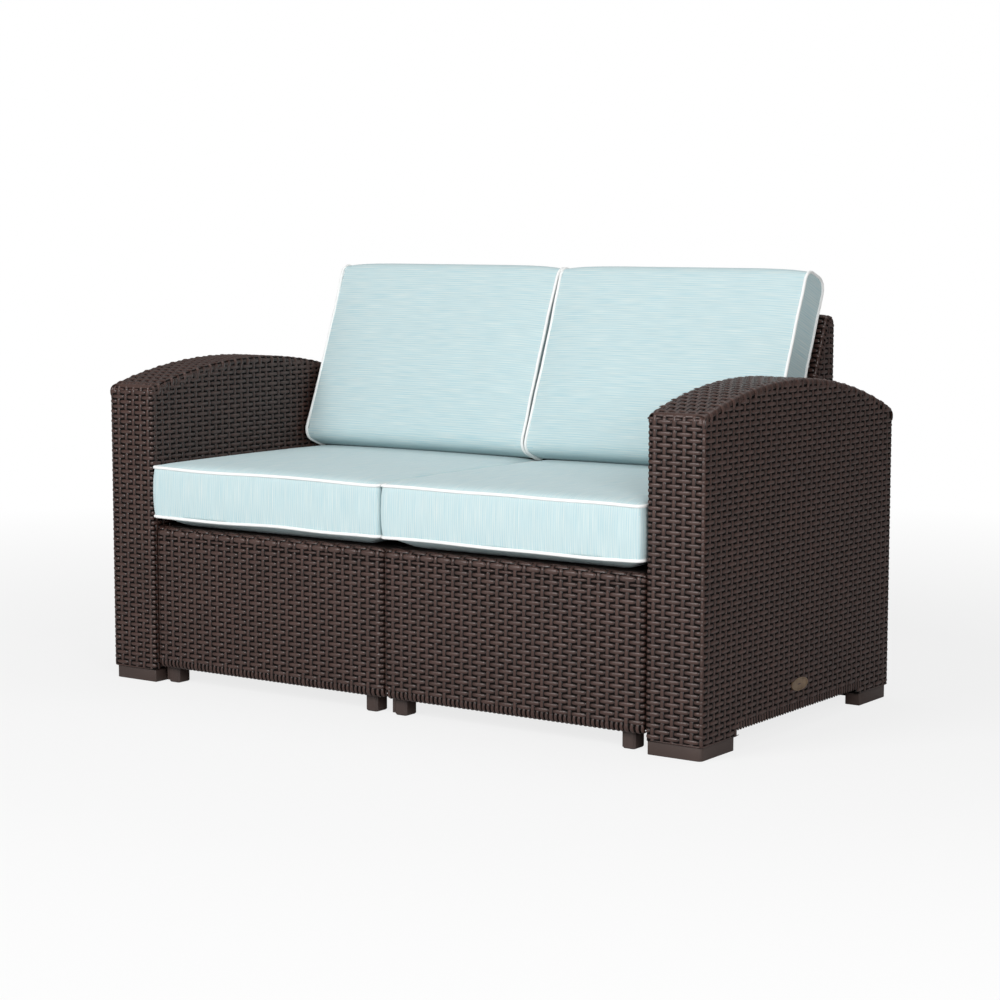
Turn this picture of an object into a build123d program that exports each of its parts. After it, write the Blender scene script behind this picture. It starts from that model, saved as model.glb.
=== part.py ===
from build123d import *
import math
import os

os.makedirs("parts", exist_ok=True)

# A two-seat patio sofa of moulded resin: two hollow arms, two seat modules side by side, two wedge
# shaped backs and four loose cushions. Millimetres, +Z up, +X to the viewer's right, front along -Y.
# The skins are the surfaces that the moulded wicker relief stands on.

# Whole sofa
module_width = 576
module_gap = 4
arm_gap = 7
arm_thickness = 112.5
arm_depth = 726
front_overhang = 12
weave_relief = 2.5
seat_height = 318
skin_wall = 3.5
rib_wall = 2.5
fit_gap = 0.3
overrun = 20

# Arms
arch_radius = 1110
arch_top = 648.5
arch_forward = 42
arm_front_rounding = 15
arm_rear_rounding = 22
arm_outer_bevel = 5
arm_inner_bevel = 2
panel_flange_depth = 12
wall_rib_depth = 8
wall_rib_shares = (-0.25, 0, 0.25)
shelf_rib_shares = (0.3, 0.6)
apron_rise = 12
floor_pad_length = 124
floor_pad_wall = 3.5

# Arm feet
foot_height = 25
foot_inset = 1.5
foot_length = 115
foot_front_depth = 40
foot_side_depth = 31
foot_rounding = 6
foot_bevel = 3
foot_wall = 4
foot_peg_size = 18
foot_peg_height = 14

# Snap tongues that hold the arm's two halves together
tongue_width = 22
tongue_wall = 2.5
tongue_length = 62
barb_length = 6
barb_height = 3
catch_bar = 8
catch_height = 14
tongue_depth_shares = (-0.42, -0.42, 0, 0.42, 0.42)
tongue_height_shares = (0.2, 0.72, 0.86, 0.24, 0.66)

# Seat modules
skirt_setback = 2
skirt_bottom = 35
skirt_corner = 16
skirt_bevel = 6
skirt_return = 16
skirt_rib_shares = (0.25, 0.5, 0.75)
rear_inset = 20.5
deck_wall = 4
deck_edge_gap = 0.5
deck_rib_height = 25
deck_rib_columns = 3
deck_rib_rows = 4
drain_width = 8
drain_length_share = 0.62
gable_wall = 3
gable_bottom = 44
gable_flange = 60
gable_base_flange = 14
gable_window_length = 126
gable_window_height = 120
gable_window_corner = 20
gable_window_shares = (-0.17, 0.17)
lug_width = 14
lug_wall = 3
lug_offset = 43
lug_height_shares = (0.3, 0.78)

# Legs under the seat modules
leg_width = 28
leg_depth = 36
leg_wall = 3
leg_bevel = 4
leg_toe = 2.5
leg_left_inset = 8
leg_right_inset = 30
leg_heel_lift = 3
leg_heel_setback = 5
leg_socket_height = 20

# Wedge backs
recline = 21
back_break_height = 440
back_top_depth = 30.3
back_top = 750.5
back_front_rounding = 8
back_rear_rounding = 22
back_end_bevel = 3
top_rounding_share = 0.75
back_rib_depth = 14
back_rib_count = 3
back_flange = 24
hook_width = 40
hook_wall = 3
hook_lip = 3
hook_count = 4

# Quarter-turn keys that join arms, modules and backs
key_radius = 4
key_shaft_sides = 8
key_head_length = 28
key_head_width = 9
key_head_wall = 4
key_slot_length = 30
key_slot_height = 10
key_y_shares = (-0.37, 0.37)
key_height = 170
back_key_inset = 60
back_key_height = 480

# Seat cushions
cushion_side_gap = 1
seat_cushion_rear_gap = 2
seat_boxing = 98
seat_piping_rise = 25
seat_crown = 14
seat_bulge = 3
seat_corner = 14
seat_draw_in = 3
seat_shoulder = 10
seat_tuck = 12
dome_radius = 6000
soft_gap = 0.3
piping_room = 3
core_inset = 14

# Back cushions
back_cushion_height = 403
back_cushion_thickness = 76
back_crown = 22
back_lean_crown = 20
back_top_crown = 5
back_lean_gap = 1.5
settling_rounds = 4
back_corner_front_top = 12
back_corner_rear_top = 24
back_corner_rear_bottom = 16
back_corner_front_bottom = 24
crown_place_shares = (0.45, 0.84, 1)
crown_height_shares = (1, 0.62, 0.005)

# Badge on the right arm's outer side
badge_length = 62
badge_height = 24
badge_wall = 2
badge_y = -2
badge_z = 84

# Places that follow from the sizes above
diagonal_share = math.sqrt(0.5)
arm_front = -(arm_depth - front_overhang) / 2
arm_back = arm_front + arm_depth
arm_middle = (arm_front + arm_back) / 2
arm_inner = module_gap / 2 + module_width + arm_gap
arm_outer = arm_inner + arm_thickness
cushion_front = arm_front - front_overhang
skirt_front = arm_front + skirt_setback
skirt_back = skirt_front + skirt_return
rear_skin = arm_back - rear_inset
rear_rim = rear_skin - skirt_return
module_middle = (skirt_front + rear_skin) / 2
module_depth = rear_skin - skirt_front
deck_under = seat_height - deck_wall
sine = math.sin(math.radians(recline))
cosine = math.cos(math.radians(recline))
back_base_y = rear_skin - back_top_depth - (back_top - back_break_height) * sine / cosine
module_places = {"left": -module_gap / 2 - module_width, "right": module_gap / 2}
module_halves = {"left": -(module_gap + module_width) / 2, "right": (module_gap + module_width) / 2}


def block(x_low, x_high, y_low, y_high, z_low, z_high):
    """A plain block between two corners."""
    centre = ((x_low + x_high) / 2, (y_low + y_high) / 2, (z_low + z_high) / 2)
    return Pos(*centre) * Box(x_high - x_low, y_high - y_low, z_high - z_low)


def mirrored(shape):
    return mirror(shape, about=Plane.YZ)


def key_places():
    """Height and depth of each key: two through the gables and one through the back's end wall."""
    places = [(module_middle + share * module_depth, key_height) for share in key_y_shares]
    return places + [(rear_skin - back_key_inset, back_key_height)]


def key_slot(x_low, x_high, y, z):
    half_length = key_slot_length / 2
    half_height = key_slot_height / 2
    return block(x_low, x_high, y - half_length, y + half_length, z - half_height, z + half_height)


# Arms


def arch_height(y, inset):
    """Height of the arched top over a point of the arm's depth."""
    radius = arch_radius - inset
    away = y - (arm_middle - arch_forward)
    return arch_top - arch_radius + math.sqrt(radius**2 - away**2)


def arm_profile(inset, bottom):
    """Side outline of the arm: upright front and rear, one long arc over the top."""
    front = arm_front + inset
    back = arm_back - inset
    top = arm_middle - arch_forward
    over = ThreePointArc(
        (front, arch_height(front, inset)), (top, arch_height(top, inset)), (back, arch_height(back, inset))
    )
    sides = Polyline(
        (front, arch_height(front, inset)), (front, bottom), (back, bottom), (back, arch_height(back, inset))
    )
    face = make_face(Curve() + [over, sides])
    upper = face.vertices().sort_by(Axis.Y)[-2:]
    front_corner, rear_corner = upper.sort_by(Axis.X)
    face = fillet(front_corner, arm_front_rounding - inset)
    rear_corner = face.vertices().sort_by_distance((back, arch_height(back, inset)))[0]
    return fillet(rear_corner, arm_rear_rounding - inset)


def arm_slab(inset, bottom, x_low, x_high):
    return extrude(Plane.YZ.offset(x_low) * arm_profile(inset, bottom), x_high - x_low)


def arm_body():
    """The whole arm as one block, with its rims bevelled and the apron cut up between the feet."""
    body = arm_slab(0, foot_height, arm_inner, arm_outer)
    for place, bevel in ((arm_outer, arm_outer_bevel), (arm_inner, arm_inner_bevel)):
        rim = body.faces().sort_by_distance((place, arm_middle, arch_top / 2))[0].edges()
        body = chamfer(rim.filter_by(lambda edge: edge.center().Z > foot_height + arm_outer_bevel), bevel)
    apron = block(
        arm_inner - overrun,
        arm_outer + overrun,
        arm_front + floor_pad_length,
        arm_back - floor_pad_length,
        foot_height - overrun,
        foot_height + apron_rise,
    )
    return body - apron


def tongue_places():
    """Places of the snap tongues, kept inside the arm's outline."""
    shares = zip(tongue_depth_shares, tongue_height_shares)
    return [(arm_middle + along * arm_depth, up * arch_top) for along, up in shares]


def arm_outer_shell():
    """Outer half of the arm: outer side, front, rear and arched top in one open moulding."""
    split_x = arm_inner + skin_wall
    shell = arm_body() - block(
        arm_inner - overrun, split_x, arm_front - overrun, arm_back + overrun, foot_height - overrun, arch_top + overrun
    )
    shell -= arm_slab(skin_wall, foot_height + floor_pad_wall, split_x - overrun, arm_outer - skin_wall)
    well = block(
        split_x - overrun,
        arm_outer - skin_wall,
        arm_front + floor_pad_length + skin_wall,
        arm_back - floor_pad_length - skin_wall,
        foot_height - overrun,
        foot_height + overrun,
    )
    shell -= well
    wall_inside = arm_outer - skin_wall
    inside = arm_slab(skin_wall, foot_height + floor_pad_wall, split_x, wall_inside)
    rib_x = wall_inside - wall_rib_depth
    for share in wall_rib_shares:
        y = arm_middle + share * arm_depth
        rib = block(rib_x, wall_inside, y - rib_wall / 2, y + rib_wall / 2, foot_height + apron_rise, arch_top)
        shell += rib & inside
    for share in shelf_rib_shares:
        z = share * arch_top
        shell += block(rib_x, wall_inside, arm_front + skin_wall, arm_back - skin_wall, z, z + rib_wall)
    for y, z in tongue_places():
        shell += snap_catch(y, z)
    for y in foot_peg_places():
        shell -= foot_peg(y, fit_gap)
    return shell - badge_pocket()


def snap_catch(y, z):
    """Two cheeks and a bar on the outer wall that a tongue's barb clicks behind."""
    bar_x = arm_inner + skin_wall + tongue_length - barb_length - catch_bar
    wall_inside = arm_outer - skin_wall
    low = z - tongue_wall / 2 - fit_gap - catch_height
    high = z - tongue_wall / 2 - fit_gap
    cheek = tongue_width / 2 + fit_gap
    catch = block(bar_x, bar_x + catch_bar - fit_gap, y - cheek, y + cheek, low, high)
    for side in (-1, 1):
        near = y + side * cheek
        far = y + side * (cheek + rib_wall)
        catch += block(bar_x, wall_inside, min(near, far), max(near, far), low, high)
    return catch


def snap_tongue(y, z):
    """A springy tongue on the inner panel, barbed at its end."""
    root = arm_inner + skin_wall
    half = tongue_width / 2
    low = z - tongue_wall / 2
    high = z + tongue_wall / 2
    tongue = block(root - skin_wall / 2, root + tongue_length, y - half, y + half, low, high)
    return tongue + block(
        root + tongue_length - barb_length, root + tongue_length, y - half, y + half, low - barb_height, high
    )


def arm_inner_panel():
    """Inner half of the arm: a flat panel with a locating flange, snap tongues and key slots."""
    split_x = arm_inner + skin_wall
    panel = arm_body() & block(
        arm_inner, split_x, arm_front, arm_back, foot_height, arch_top + overrun
    )
    step = skin_wall + fit_gap
    low = foot_height + floor_pad_wall + fit_gap
    flange = arm_slab(step, low, split_x - skin_wall / 2, split_x + panel_flange_depth)
    flange -= arm_slab(step + rib_wall, low - overrun, split_x - overrun, split_x + overrun)
    panel += flange - block(
        arm_inner,
        arm_outer,
        arm_front + floor_pad_length,
        arm_back - floor_pad_length,
        foot_height - overrun,
        foot_height + apron_rise,
    )
    for y, z in tongue_places():
        panel += snap_tongue(y, z)
    for y, z in key_places():
        panel -= key_slot(arm_inner - overrun, split_x + overrun, y, z)
    return panel


def foot_peg_places():
    inset = foot_inset + foot_front_depth / 2
    return (arm_front + inset, arm_back - inset)


def foot_peg(y, gap):
    """Square peg on a foot, or the hole it goes in when a gap is given."""
    half = foot_peg_size / 2 + gap
    x = arm_inner + arm_thickness / 2
    top = foot_height + foot_peg_height + (overrun if gap else 0)
    return block(x - half, x + half, y - half, y + half, foot_height - (overrun if gap else 0), top)


def arm_foot(front):
    """L-shaped foot: one leg across the arm's end and one along its outer side, hollow from below."""
    inner = arm_inner + foot_inset
    outer = arm_outer - foot_inset
    end = arm_front + foot_inset if front else arm_back - foot_inset
    way = 1 if front else -1
    plan = Polyline(
        (inner, end),
        (outer, end),
        (outer, end + way * foot_length),
        (outer - foot_side_depth, end + way * foot_length),
        (outer - foot_side_depth, end + way * foot_front_depth),
        (inner, end + way * foot_front_depth),
        close=True,
    )
    plan = make_face(plan)
    foot = extrude(plan, foot_height)
    corner = foot.edges().filter_by(Axis.Z).sort_by_distance((outer, end, foot_height / 2))[0]
    foot = fillet(corner, foot_rounding)
    others = foot.edges().filter_by(Axis.Z).sort_by_distance((outer, end, foot_height / 2))[2:]
    foot = chamfer(others, foot_bevel)
    hollow = offset(plan, -foot_wall, kind=Kind.INTERSECTION)
    foot -= extrude(hollow, foot_height - foot_wall)
    peg_y = foot_peg_places()[0 if front else 1]
    return foot + foot_peg(peg_y, 0)


def badge_form(length, height, x_low, x_high):
    plane = Plane.YZ.offset(x_low)
    return extrude(plane * (Pos(badge_y, badge_z) * Ellipse(length / 2, height / 2)), x_high - x_low)


def badge_pocket():
    return badge_form(badge_length + 2 * fit_gap, badge_height + 2 * fit_gap, arm_outer - badge_wall, arm_outer + overrun)


def badge():
    """Bare oval plate, flush with the skin."""
    return badge_form(badge_length, badge_height, arm_outer - badge_wall, arm_outer)


# Seat modules, drawn with their left end at X = 0


def skirt_plan(inset):
    """Front view of a skirt: a rectangle with rounded corners."""
    width = module_width - 2 * inset
    height = seat_height - skirt_bottom - 2 * inset
    centre = Pos(module_width / 2, (seat_height + skirt_bottom) / 2)
    return centre * RectangleRounded(width, height, skirt_corner - inset)


def skirt_hollow():
    hollow = Rectangle(module_width - 2 * skin_wall, seat_height - skirt_bottom - 2 * skin_wall)
    return Pos(module_width / 2, (seat_height + skirt_bottom) / 2) * chamfer(hollow.vertices(), skirt_corner / 2)


def skirt():
    """Front skirt: a tray with bevelled front edges, ribs behind and lugs for the gables."""
    plane = Plane.XZ.offset(-skirt_back)
    outer = extrude(plane * skirt_plan(0), skirt_return)
    outer = chamfer(outer.faces().sort_by(Axis.Y)[0].edges(), skirt_bevel)
    tray = outer - extrude(plane.offset(-overrun) * skirt_hollow(), skirt_return + overrun - skin_wall)
    middle = (seat_height + skirt_bottom) / 2
    for share in skirt_rib_shares:
        x = share * module_width
        low = skirt_bottom + skin_wall / 2
        high = seat_height - skin_wall / 2
        depth = skirt_front + skin_wall
        rib = block(x - rib_wall / 2, x + rib_wall / 2, depth - rib_wall / 2, depth + wall_rib_depth, low, high)
        tray += rib & block(0, module_width, skirt_front, skirt_back, low, high)
    tray += block(
        gable_flange,
        module_width - gable_flange,
        skirt_front + skin_wall / 2,
        skirt_front + skin_wall + wall_rib_depth,
        middle - rib_wall / 2,
        middle + rib_wall / 2,
    )
    for x, z in lug_places():
        tray += skirt_lug(x, z)
    return tray


def lug_places():
    """Where the skirts' lugs go through the gables' flanges."""
    left = lug_offset
    right = module_width - gable_wall - fit_gap - lug_width - leg_wall
    levels = [skirt_bottom + share * (seat_height - skirt_bottom) for share in lug_height_shares]
    return [(x, z) for x in (left, right) for z in levels]


def skirt_lug(x, z):
    """Flat lug with a barb that hooks behind the gable's flange."""
    back = skirt_back + gable_wall + fit_gap
    lug = block(x, x + lug_width, skirt_front + skin_wall / 2, back + lug_wall, z, z + lug_wall)
    return lug + block(x, x + lug_width, back, back + lug_wall, z, z + lug_wall + barb_height)


def rear_skirt():
    """The rear skirt is the front one turned round, with its rim on the rear edge of the gables."""
    return mirror(skirt(), about=Plane.XZ.offset(-module_middle))


def lug_windows():
    cuts = []
    for x, z in lug_places():
        low = z - fit_gap
        high = z + lug_wall + barb_height + fit_gap
        cuts.append(
            block(x - fit_gap, x + lug_width + fit_gap, skirt_back - overrun, skirt_back + overrun, low, high)
        )
    return cuts


def gable(left):
    """End wall of a module: a plate with flanges for the skirts, the deck and the ground edge."""
    low = gable_bottom
    plate = block(0, gable_wall, skirt_back, rear_rim, low, deck_under)
    for y in (skirt_back, rear_rim - gable_wall):
        plate += block(0, gable_flange, y, y + gable_wall, low, deck_under)
    plate += block(0, gable_base_flange, skirt_back, rear_rim, low, low + gable_wall)
    for share in gable_window_shares:
        y = module_middle + share * module_depth
        window = Rectangle(gable_window_length, gable_window_height)
        window = Pos(y, key_height) * chamfer(window.vertices(), gable_window_corner)
        plate -= extrude(Plane.YZ.offset(-overrun) * window, 2 * overrun)
    for y, z in key_places()[:2]:
        plate -= key_slot(-overrun, gable_wall + overrun, y, z)
    if not left:
        plate = mirror(plate, about=Plane.YZ.offset(module_width / 2))
    for x, y in leg_places().values():
        plate -= block(x - fit_gap, x + leg_width + fit_gap, y - fit_gap, y + leg_depth + fit_gap, 0, deck_under)
    for cut in lug_windows():
        plate -= cut
        plate -= mirror(cut, about=Plane.XZ.offset(-module_middle))
    return plate


def leg_places():
    """Left edge and front edge of each of the four legs."""
    front = skirt_back + gable_wall + fit_gap
    back = rear_rim - gable_wall - fit_gap - leg_depth
    columns = (leg_left_inset, module_width - leg_right_inset - leg_width)
    return {(row, column): (columns[column], (front, back)[row]) for row in (0, 1) for column in (0, 1)}


def leg(row, column):
    """Hollow post, closed and bevelled at the ground, with a low heel on a module's left side."""
    x, y = leg_places()[(row, column)]
    post = block(x, x + leg_width, y, y + leg_depth, 0, deck_under)
    post = chamfer(post.edges().filter_by(Axis.Z), leg_bevel)
    post = chamfer(post.faces().sort_by(Axis.Z)[0].edges(), leg_toe)
    post -= block(x + leg_wall, x + leg_width - leg_wall, y + leg_wall, y + leg_depth - leg_wall, leg_bevel, seat_height)
    if column == 0:
        heel_y = y + leg_heel_setback
        post += block(
            deck_edge_gap, x + leg_wall, heel_y, y + leg_depth - leg_heel_setback, leg_heel_lift, gable_bottom - fit_gap
        )
    return post


def legs(row):
    return [leg(row, column) for column in (0, 1)]


def leg_sockets():
    """Short walls under the deck that hold the tops of the legs."""
    walls = []
    for x, y in leg_places().values():
        gap = fit_gap
        inner = block(x - gap, x + leg_width + gap, y - gap, y + leg_depth + gap, deck_under - leg_socket_height - overrun, deck_under)
        wall = rib_wall + gap
        low = deck_under - leg_socket_height
        ring = block(x - wall, x + leg_width + wall, y - gap, y + leg_depth + gap, low, deck_under + deck_wall / 2)
        walls.append(ring - inner)
    return walls


def rib_lines(count, low, high):
    pitch = (high - low) / (count + 1)
    return [low + pitch * (place + 1) for place in range(count)]


def seat_deck():
    """Moulded seat deck: a plate with drain slots, a grid of ribs below and sockets for the legs."""
    left = deck_edge_gap
    right = module_width - deck_edge_gap
    front = skirt_back + fit_gap
    back = rear_rim - fit_gap
    deck = block(left, right, front, back, deck_under, seat_height)
    grid_left = gable_flange + fit_gap
    grid_right = module_width - grid_left
    grid_front = front + leg_depth + 2 * gable_wall
    grid_back = back - leg_depth - 2 * gable_wall
    columns = [grid_left] + rib_lines(deck_rib_columns, grid_left, grid_right) + [grid_right]
    rows = [grid_front] + rib_lines(deck_rib_rows, grid_front, grid_back) + [grid_back]
    low = deck_under - deck_rib_height
    high = deck_under + deck_wall / 2
    half = rib_wall / 2
    for x in columns:
        deck += block(x - half, x + half, grid_front - half, grid_back + half, low, high)
    for y in rows:
        deck += block(grid_left - half, grid_right + half, y - half, y + half, low, high)
    for wall in leg_sockets():
        deck += wall
    for x_low, x_high in zip(columns, columns[1:]):
        for y_low, y_high in zip(rows, rows[1:]):
            deck -= drain_slot((x_low + x_high) / 2, (y_low + y_high) / 2, x_high - x_low)
    for x in hook_places():
        deck -= back_hook(x, fit_gap)
    return deck


def drain_slot(x, y, cell):
    half_length = cell * drain_length_share / 2
    half_width = drain_width / 2
    return block(
        x - half_length, x + half_length, y - half_width, y + half_width, deck_under - deck_wall / 2, seat_height + overrun
    )


# Wedge backs, drawn with their left end at X = 0


def back_profile(inset, bottom):
    """Side outline of a back: upright foot, reclined front, narrow rounded top, upright rear."""
    front = back_base_y + inset
    bend = back_break_height - inset * math.tan(math.radians(recline / 2))
    top = back_top - inset
    top_front = front + (top - bend) * math.tan(math.radians(recline))
    rear = rear_skin - inset
    outline = Polyline((front, bottom), (front, bend), (top_front, top), (rear, top), (rear, bottom), close=True)
    face = make_face(outline)
    front_corner = face.vertices().sort_by_distance((top_front, top))[0]
    face = fillet(front_corner, max(back_front_rounding - inset, rib_wall))
    rear_corner = face.vertices().sort_by_distance((rear, top))[0]
    room = top_rounding_share * (rear - top_front)
    return fillet(rear_corner, min(back_rear_rounding - inset, room))


def back_slab(inset, bottom, x_low, x_high):
    return extrude(Plane.YZ.offset(x_low) * back_profile(inset, bottom), x_high - x_low)


def cover_top():
    """The rear cover ends where the back's top starts to round over."""
    return back_top - back_rear_rounding


def hook_places():
    pitch = module_width / hook_count
    return [pitch / 2 + pitch * place for place in range(hook_count)]


def back_hook(x, gap):
    """Tongue of the back that goes down through the deck and catches under it, or its slot."""
    y = back_base_y + skin_wall + hook_wall
    half = hook_width / 2 + gap
    lip_top = deck_under - fit_gap
    lip_low = lip_top - hook_wall
    if gap:
        return block(x - half, x + half, y - gap, y + hook_wall + hook_lip + gap, lip_low - overrun, seat_height + overrun)
    hook = block(x - half, x + half, y, y + hook_wall, lip_low, seat_height + skin_wall / 2)
    return hook + block(x - half, x + half, y, y + hook_wall + hook_lip, lip_low, lip_top)


def back_shell():
    """Front, top and end walls of a back in one moulding, with ribs inside and hooks below."""
    body = back_slab(0, seat_height, 0, module_width)
    for end in (0, module_width):
        rim = body.faces().sort_by_distance((end, rear_skin - back_key_inset, back_key_height))[0].edges()
        body = chamfer(rim.filter_by(lambda edge: edge.center().Z > seat_height + skin_wall), back_end_bevel)
    seam = rear_skin - skin_wall
    body -= block(-overrun, module_width + overrun, seam, rear_skin + overrun, seat_height - overrun, cover_top())
    body -= back_slab(skin_wall, seat_height - overrun, skin_wall, module_width - skin_wall)
    body -= block(
        skin_wall, module_width - skin_wall, seam - overrun, seam + overrun, seat_height - overrun, cover_top() - skin_wall
    )
    band = back_slab(skin_wall, seat_height, skin_wall, module_width - skin_wall)
    band -= back_slab(skin_wall + back_rib_depth / 2, seat_height - overrun, skin_wall, module_width - skin_wall)
    band &= block(0, module_width, 0, seam - back_rib_depth, seat_height, back_top)
    for x in rib_lines(back_rib_count, 0, module_width):
        body += band & block(x - rib_wall / 2, x + rib_wall / 2, 0, rear_skin, seat_height, back_top)
    body += block(
        skin_wall / 2,
        module_width - skin_wall / 2,
        back_base_y + skin_wall / 2,
        back_base_y + back_flange,
        seat_height,
        seat_height + skin_wall,
    )
    for x in hook_places():
        body += back_hook(x, 0)
    y, z = key_places()[2]
    return body - key_slot(-overrun, module_width + overrun, y, z)


def back_cover():
    """Flat rear cover of a back, with a locating flange and ribs."""
    seam = rear_skin - skin_wall
    plate = block(0, module_width, seam, rear_skin, seat_height, cover_top())
    plate = fillet(plate.faces().sort_by(Axis.Y)[-1].edges(), skin_wall / 2)
    step = skin_wall + fit_gap
    low = seat_height + fit_gap
    high = cover_top() - step
    flange = block(step, module_width - step, seam - panel_flange_depth, seam + skin_wall / 2, low, high)
    flange -= block(
        step + rib_wall, module_width - step - rib_wall, seam - overrun, seam, low + rib_wall, high - rib_wall
    )
    plate += flange
    for x in rib_lines(back_rib_count, 0, module_width):
        plate += block(x - rib_wall / 2, x + rib_wall / 2, seam - wall_rib_depth, seam + skin_wall / 2, low, high)
    return plate


# Keys


def key(x_low, x_high, y, z):
    """Quarter-turn key: a shaft between two oblong heads, turned across their slots."""
    shaft = extrude(Plane.YZ.offset(x_low) * (Pos(y, z) * RegularPolygon(key_radius, key_shaft_sides)), x_high - x_low)
    half_width = key_head_width / 2
    half_length = key_head_length / 2
    for x in (x_low - key_head_wall, x_high):
        shaft += block(x, x + key_head_wall, y - half_width, y + half_width, z - half_length, z + half_length)
    return shaft


def key_group(x_low, gable_high, back_high):
    """The three keys of one joint. The spans run from wall to wall, a fit gap clear of both."""
    places = key_places()
    spans = (gable_high, gable_high, back_high)
    return [key(low - fit_gap, high + fit_gap, y, z) for (y, z), (low, high) in zip(places, spans) if x_low < high]


def keys():
    """Keys between the left arm and module, between the modules, and beside the right arm."""
    half = module_gap / 2
    outer = arm_inner + skin_wall
    end = half + module_width
    side_spans = ((end - gable_wall, outer), (end - skin_wall, outer))
    middle_spans = ((-half - gable_wall, half + gable_wall), (-half - skin_wall, half + skin_wall))
    right = key_group(0, *side_spans)
    middle = key_group(-overrun, *middle_spans)
    left = [mirrored(one) for one in right]
    return {"left": left, "middle": middle, "right": right}


# Seat cushions, drawn round the middle of the cushion


def box_outline(half_width, half_depth, corner, draw_in):
    """Rounded rectangle whose sides are drawn in between the corners, with no kink in it."""
    corner_x = half_width - corner
    corner_y = half_depth - corner
    side_reach = (corner_y**2 + draw_in**2) / (2 * draw_in)
    end_reach = (corner_x**2 + draw_in**2) / (2 * draw_in)
    side = (corner_x + corner * (1 - draw_in / side_reach), corner_y - corner * corner_y / side_reach)
    end = (corner_x - corner * corner_x / end_reach, corner_y + corner * (1 - draw_in / end_reach))
    middle = (corner_x + corner * diagonal_share, corner_y + corner * diagonal_share)
    edges = []
    for flip_x, flip_y in ((1, 1), (-1, 1), (-1, -1), (1, -1)):
        points = [(flip_x * x, flip_y * y) for x, y in (side, middle, end)]
        edges.append(ThreePointArc(*points))
    for flip in (1, -1):
        over = (flip * (half_width - draw_in), 0)
        edges.append(ThreePointArc((flip * side[0], -side[1]), over, (flip * side[0], side[1])))
        across = (0, flip * (half_depth - draw_in))
        edges.append(ThreePointArc((-end[0], flip * end[1]), across, (end[0], flip * end[1])))
    return Curve() + edges


def cushion_half_width():
    return (module_width + module_gap) / 2 - cushion_side_gap - piping_room


def seat_ends():
    """Front and rear of the seat cushion at its piped edges."""
    rear = back_base_y - weave_relief - seat_cushion_rear_gap
    return cushion_front + piping_room, rear - piping_room


def seat_outline(inset):
    front, rear = seat_ends()
    half_depth = (rear - front) / 2
    outline = box_outline(cushion_half_width() - inset, half_depth - inset, seat_corner - inset, seat_draw_in)
    return Pos(0, (front + rear) / 2) * outline


def seat_section(inset, height):
    return Pos(0, 0, height) * make_face(seat_outline(inset))


def seat_levels():
    """Heights of the underside, lower piped edge, upper piped edge and crown of the seat cushion."""
    under = seat_height + soft_gap
    lower = seat_height + seat_piping_rise
    upper = lower + seat_boxing
    return under, lower, upper, upper + seat_crown


def dome_height(y):
    """Height of the seat cushion's top over a point of its depth."""
    under, lower, upper, crown = seat_levels()
    away = y - sum(seat_ends()) / 2
    return crown - dome_radius + math.sqrt(dome_radius**2 - away**2)


def seat_form():
    """Box cushion: tucked under, bulging boxing between the piped edges, domed top with soft shoulders."""
    under, lower, upper, crown = seat_levels()
    base = loft([seat_section(seat_tuck, under), seat_section(0, lower)], ruled=True)
    middle = (lower + upper) / 2
    boxing = loft([seat_section(0, lower), seat_section(-seat_bulge, middle), seat_section(0, upper)], ruled=True)
    top = loft([seat_section(0, upper), seat_section(seat_shoulder, crown)], ruled=True)
    dome = Pos(0, sum(seat_ends()) / 2, crown - dome_radius)
    for turn in (Rot(0, 90, 0), Rot(90, 0, 0)):
        top &= dome * turn * Cylinder(dome_radius, 2 * module_width)
    return base + boxing + top


def seat_core(gap):
    """Foam slab inside the cushion, or the room for it when a gap is given."""
    under, lower, upper, crown = seat_levels()
    front, rear = seat_ends()
    half = cushion_half_width() - core_inset + gap
    low = under + core_inset - gap
    high = upper - core_inset / 2 + gap
    slab = block(-half, half, front + core_inset - gap, rear - core_inset + gap, low, high)
    return chamfer(slab.edges().filter_by(Axis.Z), core_inset)


# Back cushions, drawn round the middle of the cushion


def back_cushion_seat():
    """Front lower corner of the cushion: it leans on the back and stands on the seat cushion."""
    corner = back_corner_rear_bottom
    inward = back_cushion_thickness - corner
    reach = back_cushion_thickness + back_lean_crown + weave_relief + back_lean_gap
    rest_y = back_base_y
    for settling in range(settling_rounds):
        corner_z = dome_height(rest_y) + soft_gap + corner + inward * sine - corner * cosine
        corner_y = back_base_y - (reach + (back_break_height - corner_z) * sine) / cosine
        rest_y = corner_y + inward * cosine + corner * sine
    return corner_y, corner_z


def back_section_plane(x):
    corner_y, corner_z = back_cushion_seat()
    return Plane(origin=(x, corner_y, corner_z), x_dir=(0, cosine, -sine), z_dir=(1, 0, 0))


def cushion_corner(corner_x, corner_y, radius, turn):
    """Quarter arc round a corner of the section. The turn says which quarter, counted from +X."""
    points = [
        (
            corner_x + radius * math.cos(math.radians(turn + step)),
            corner_y + radius * math.sin(math.radians(turn + step)),
        )
        for step in (0, 45, 90)
    ]
    return points


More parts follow.
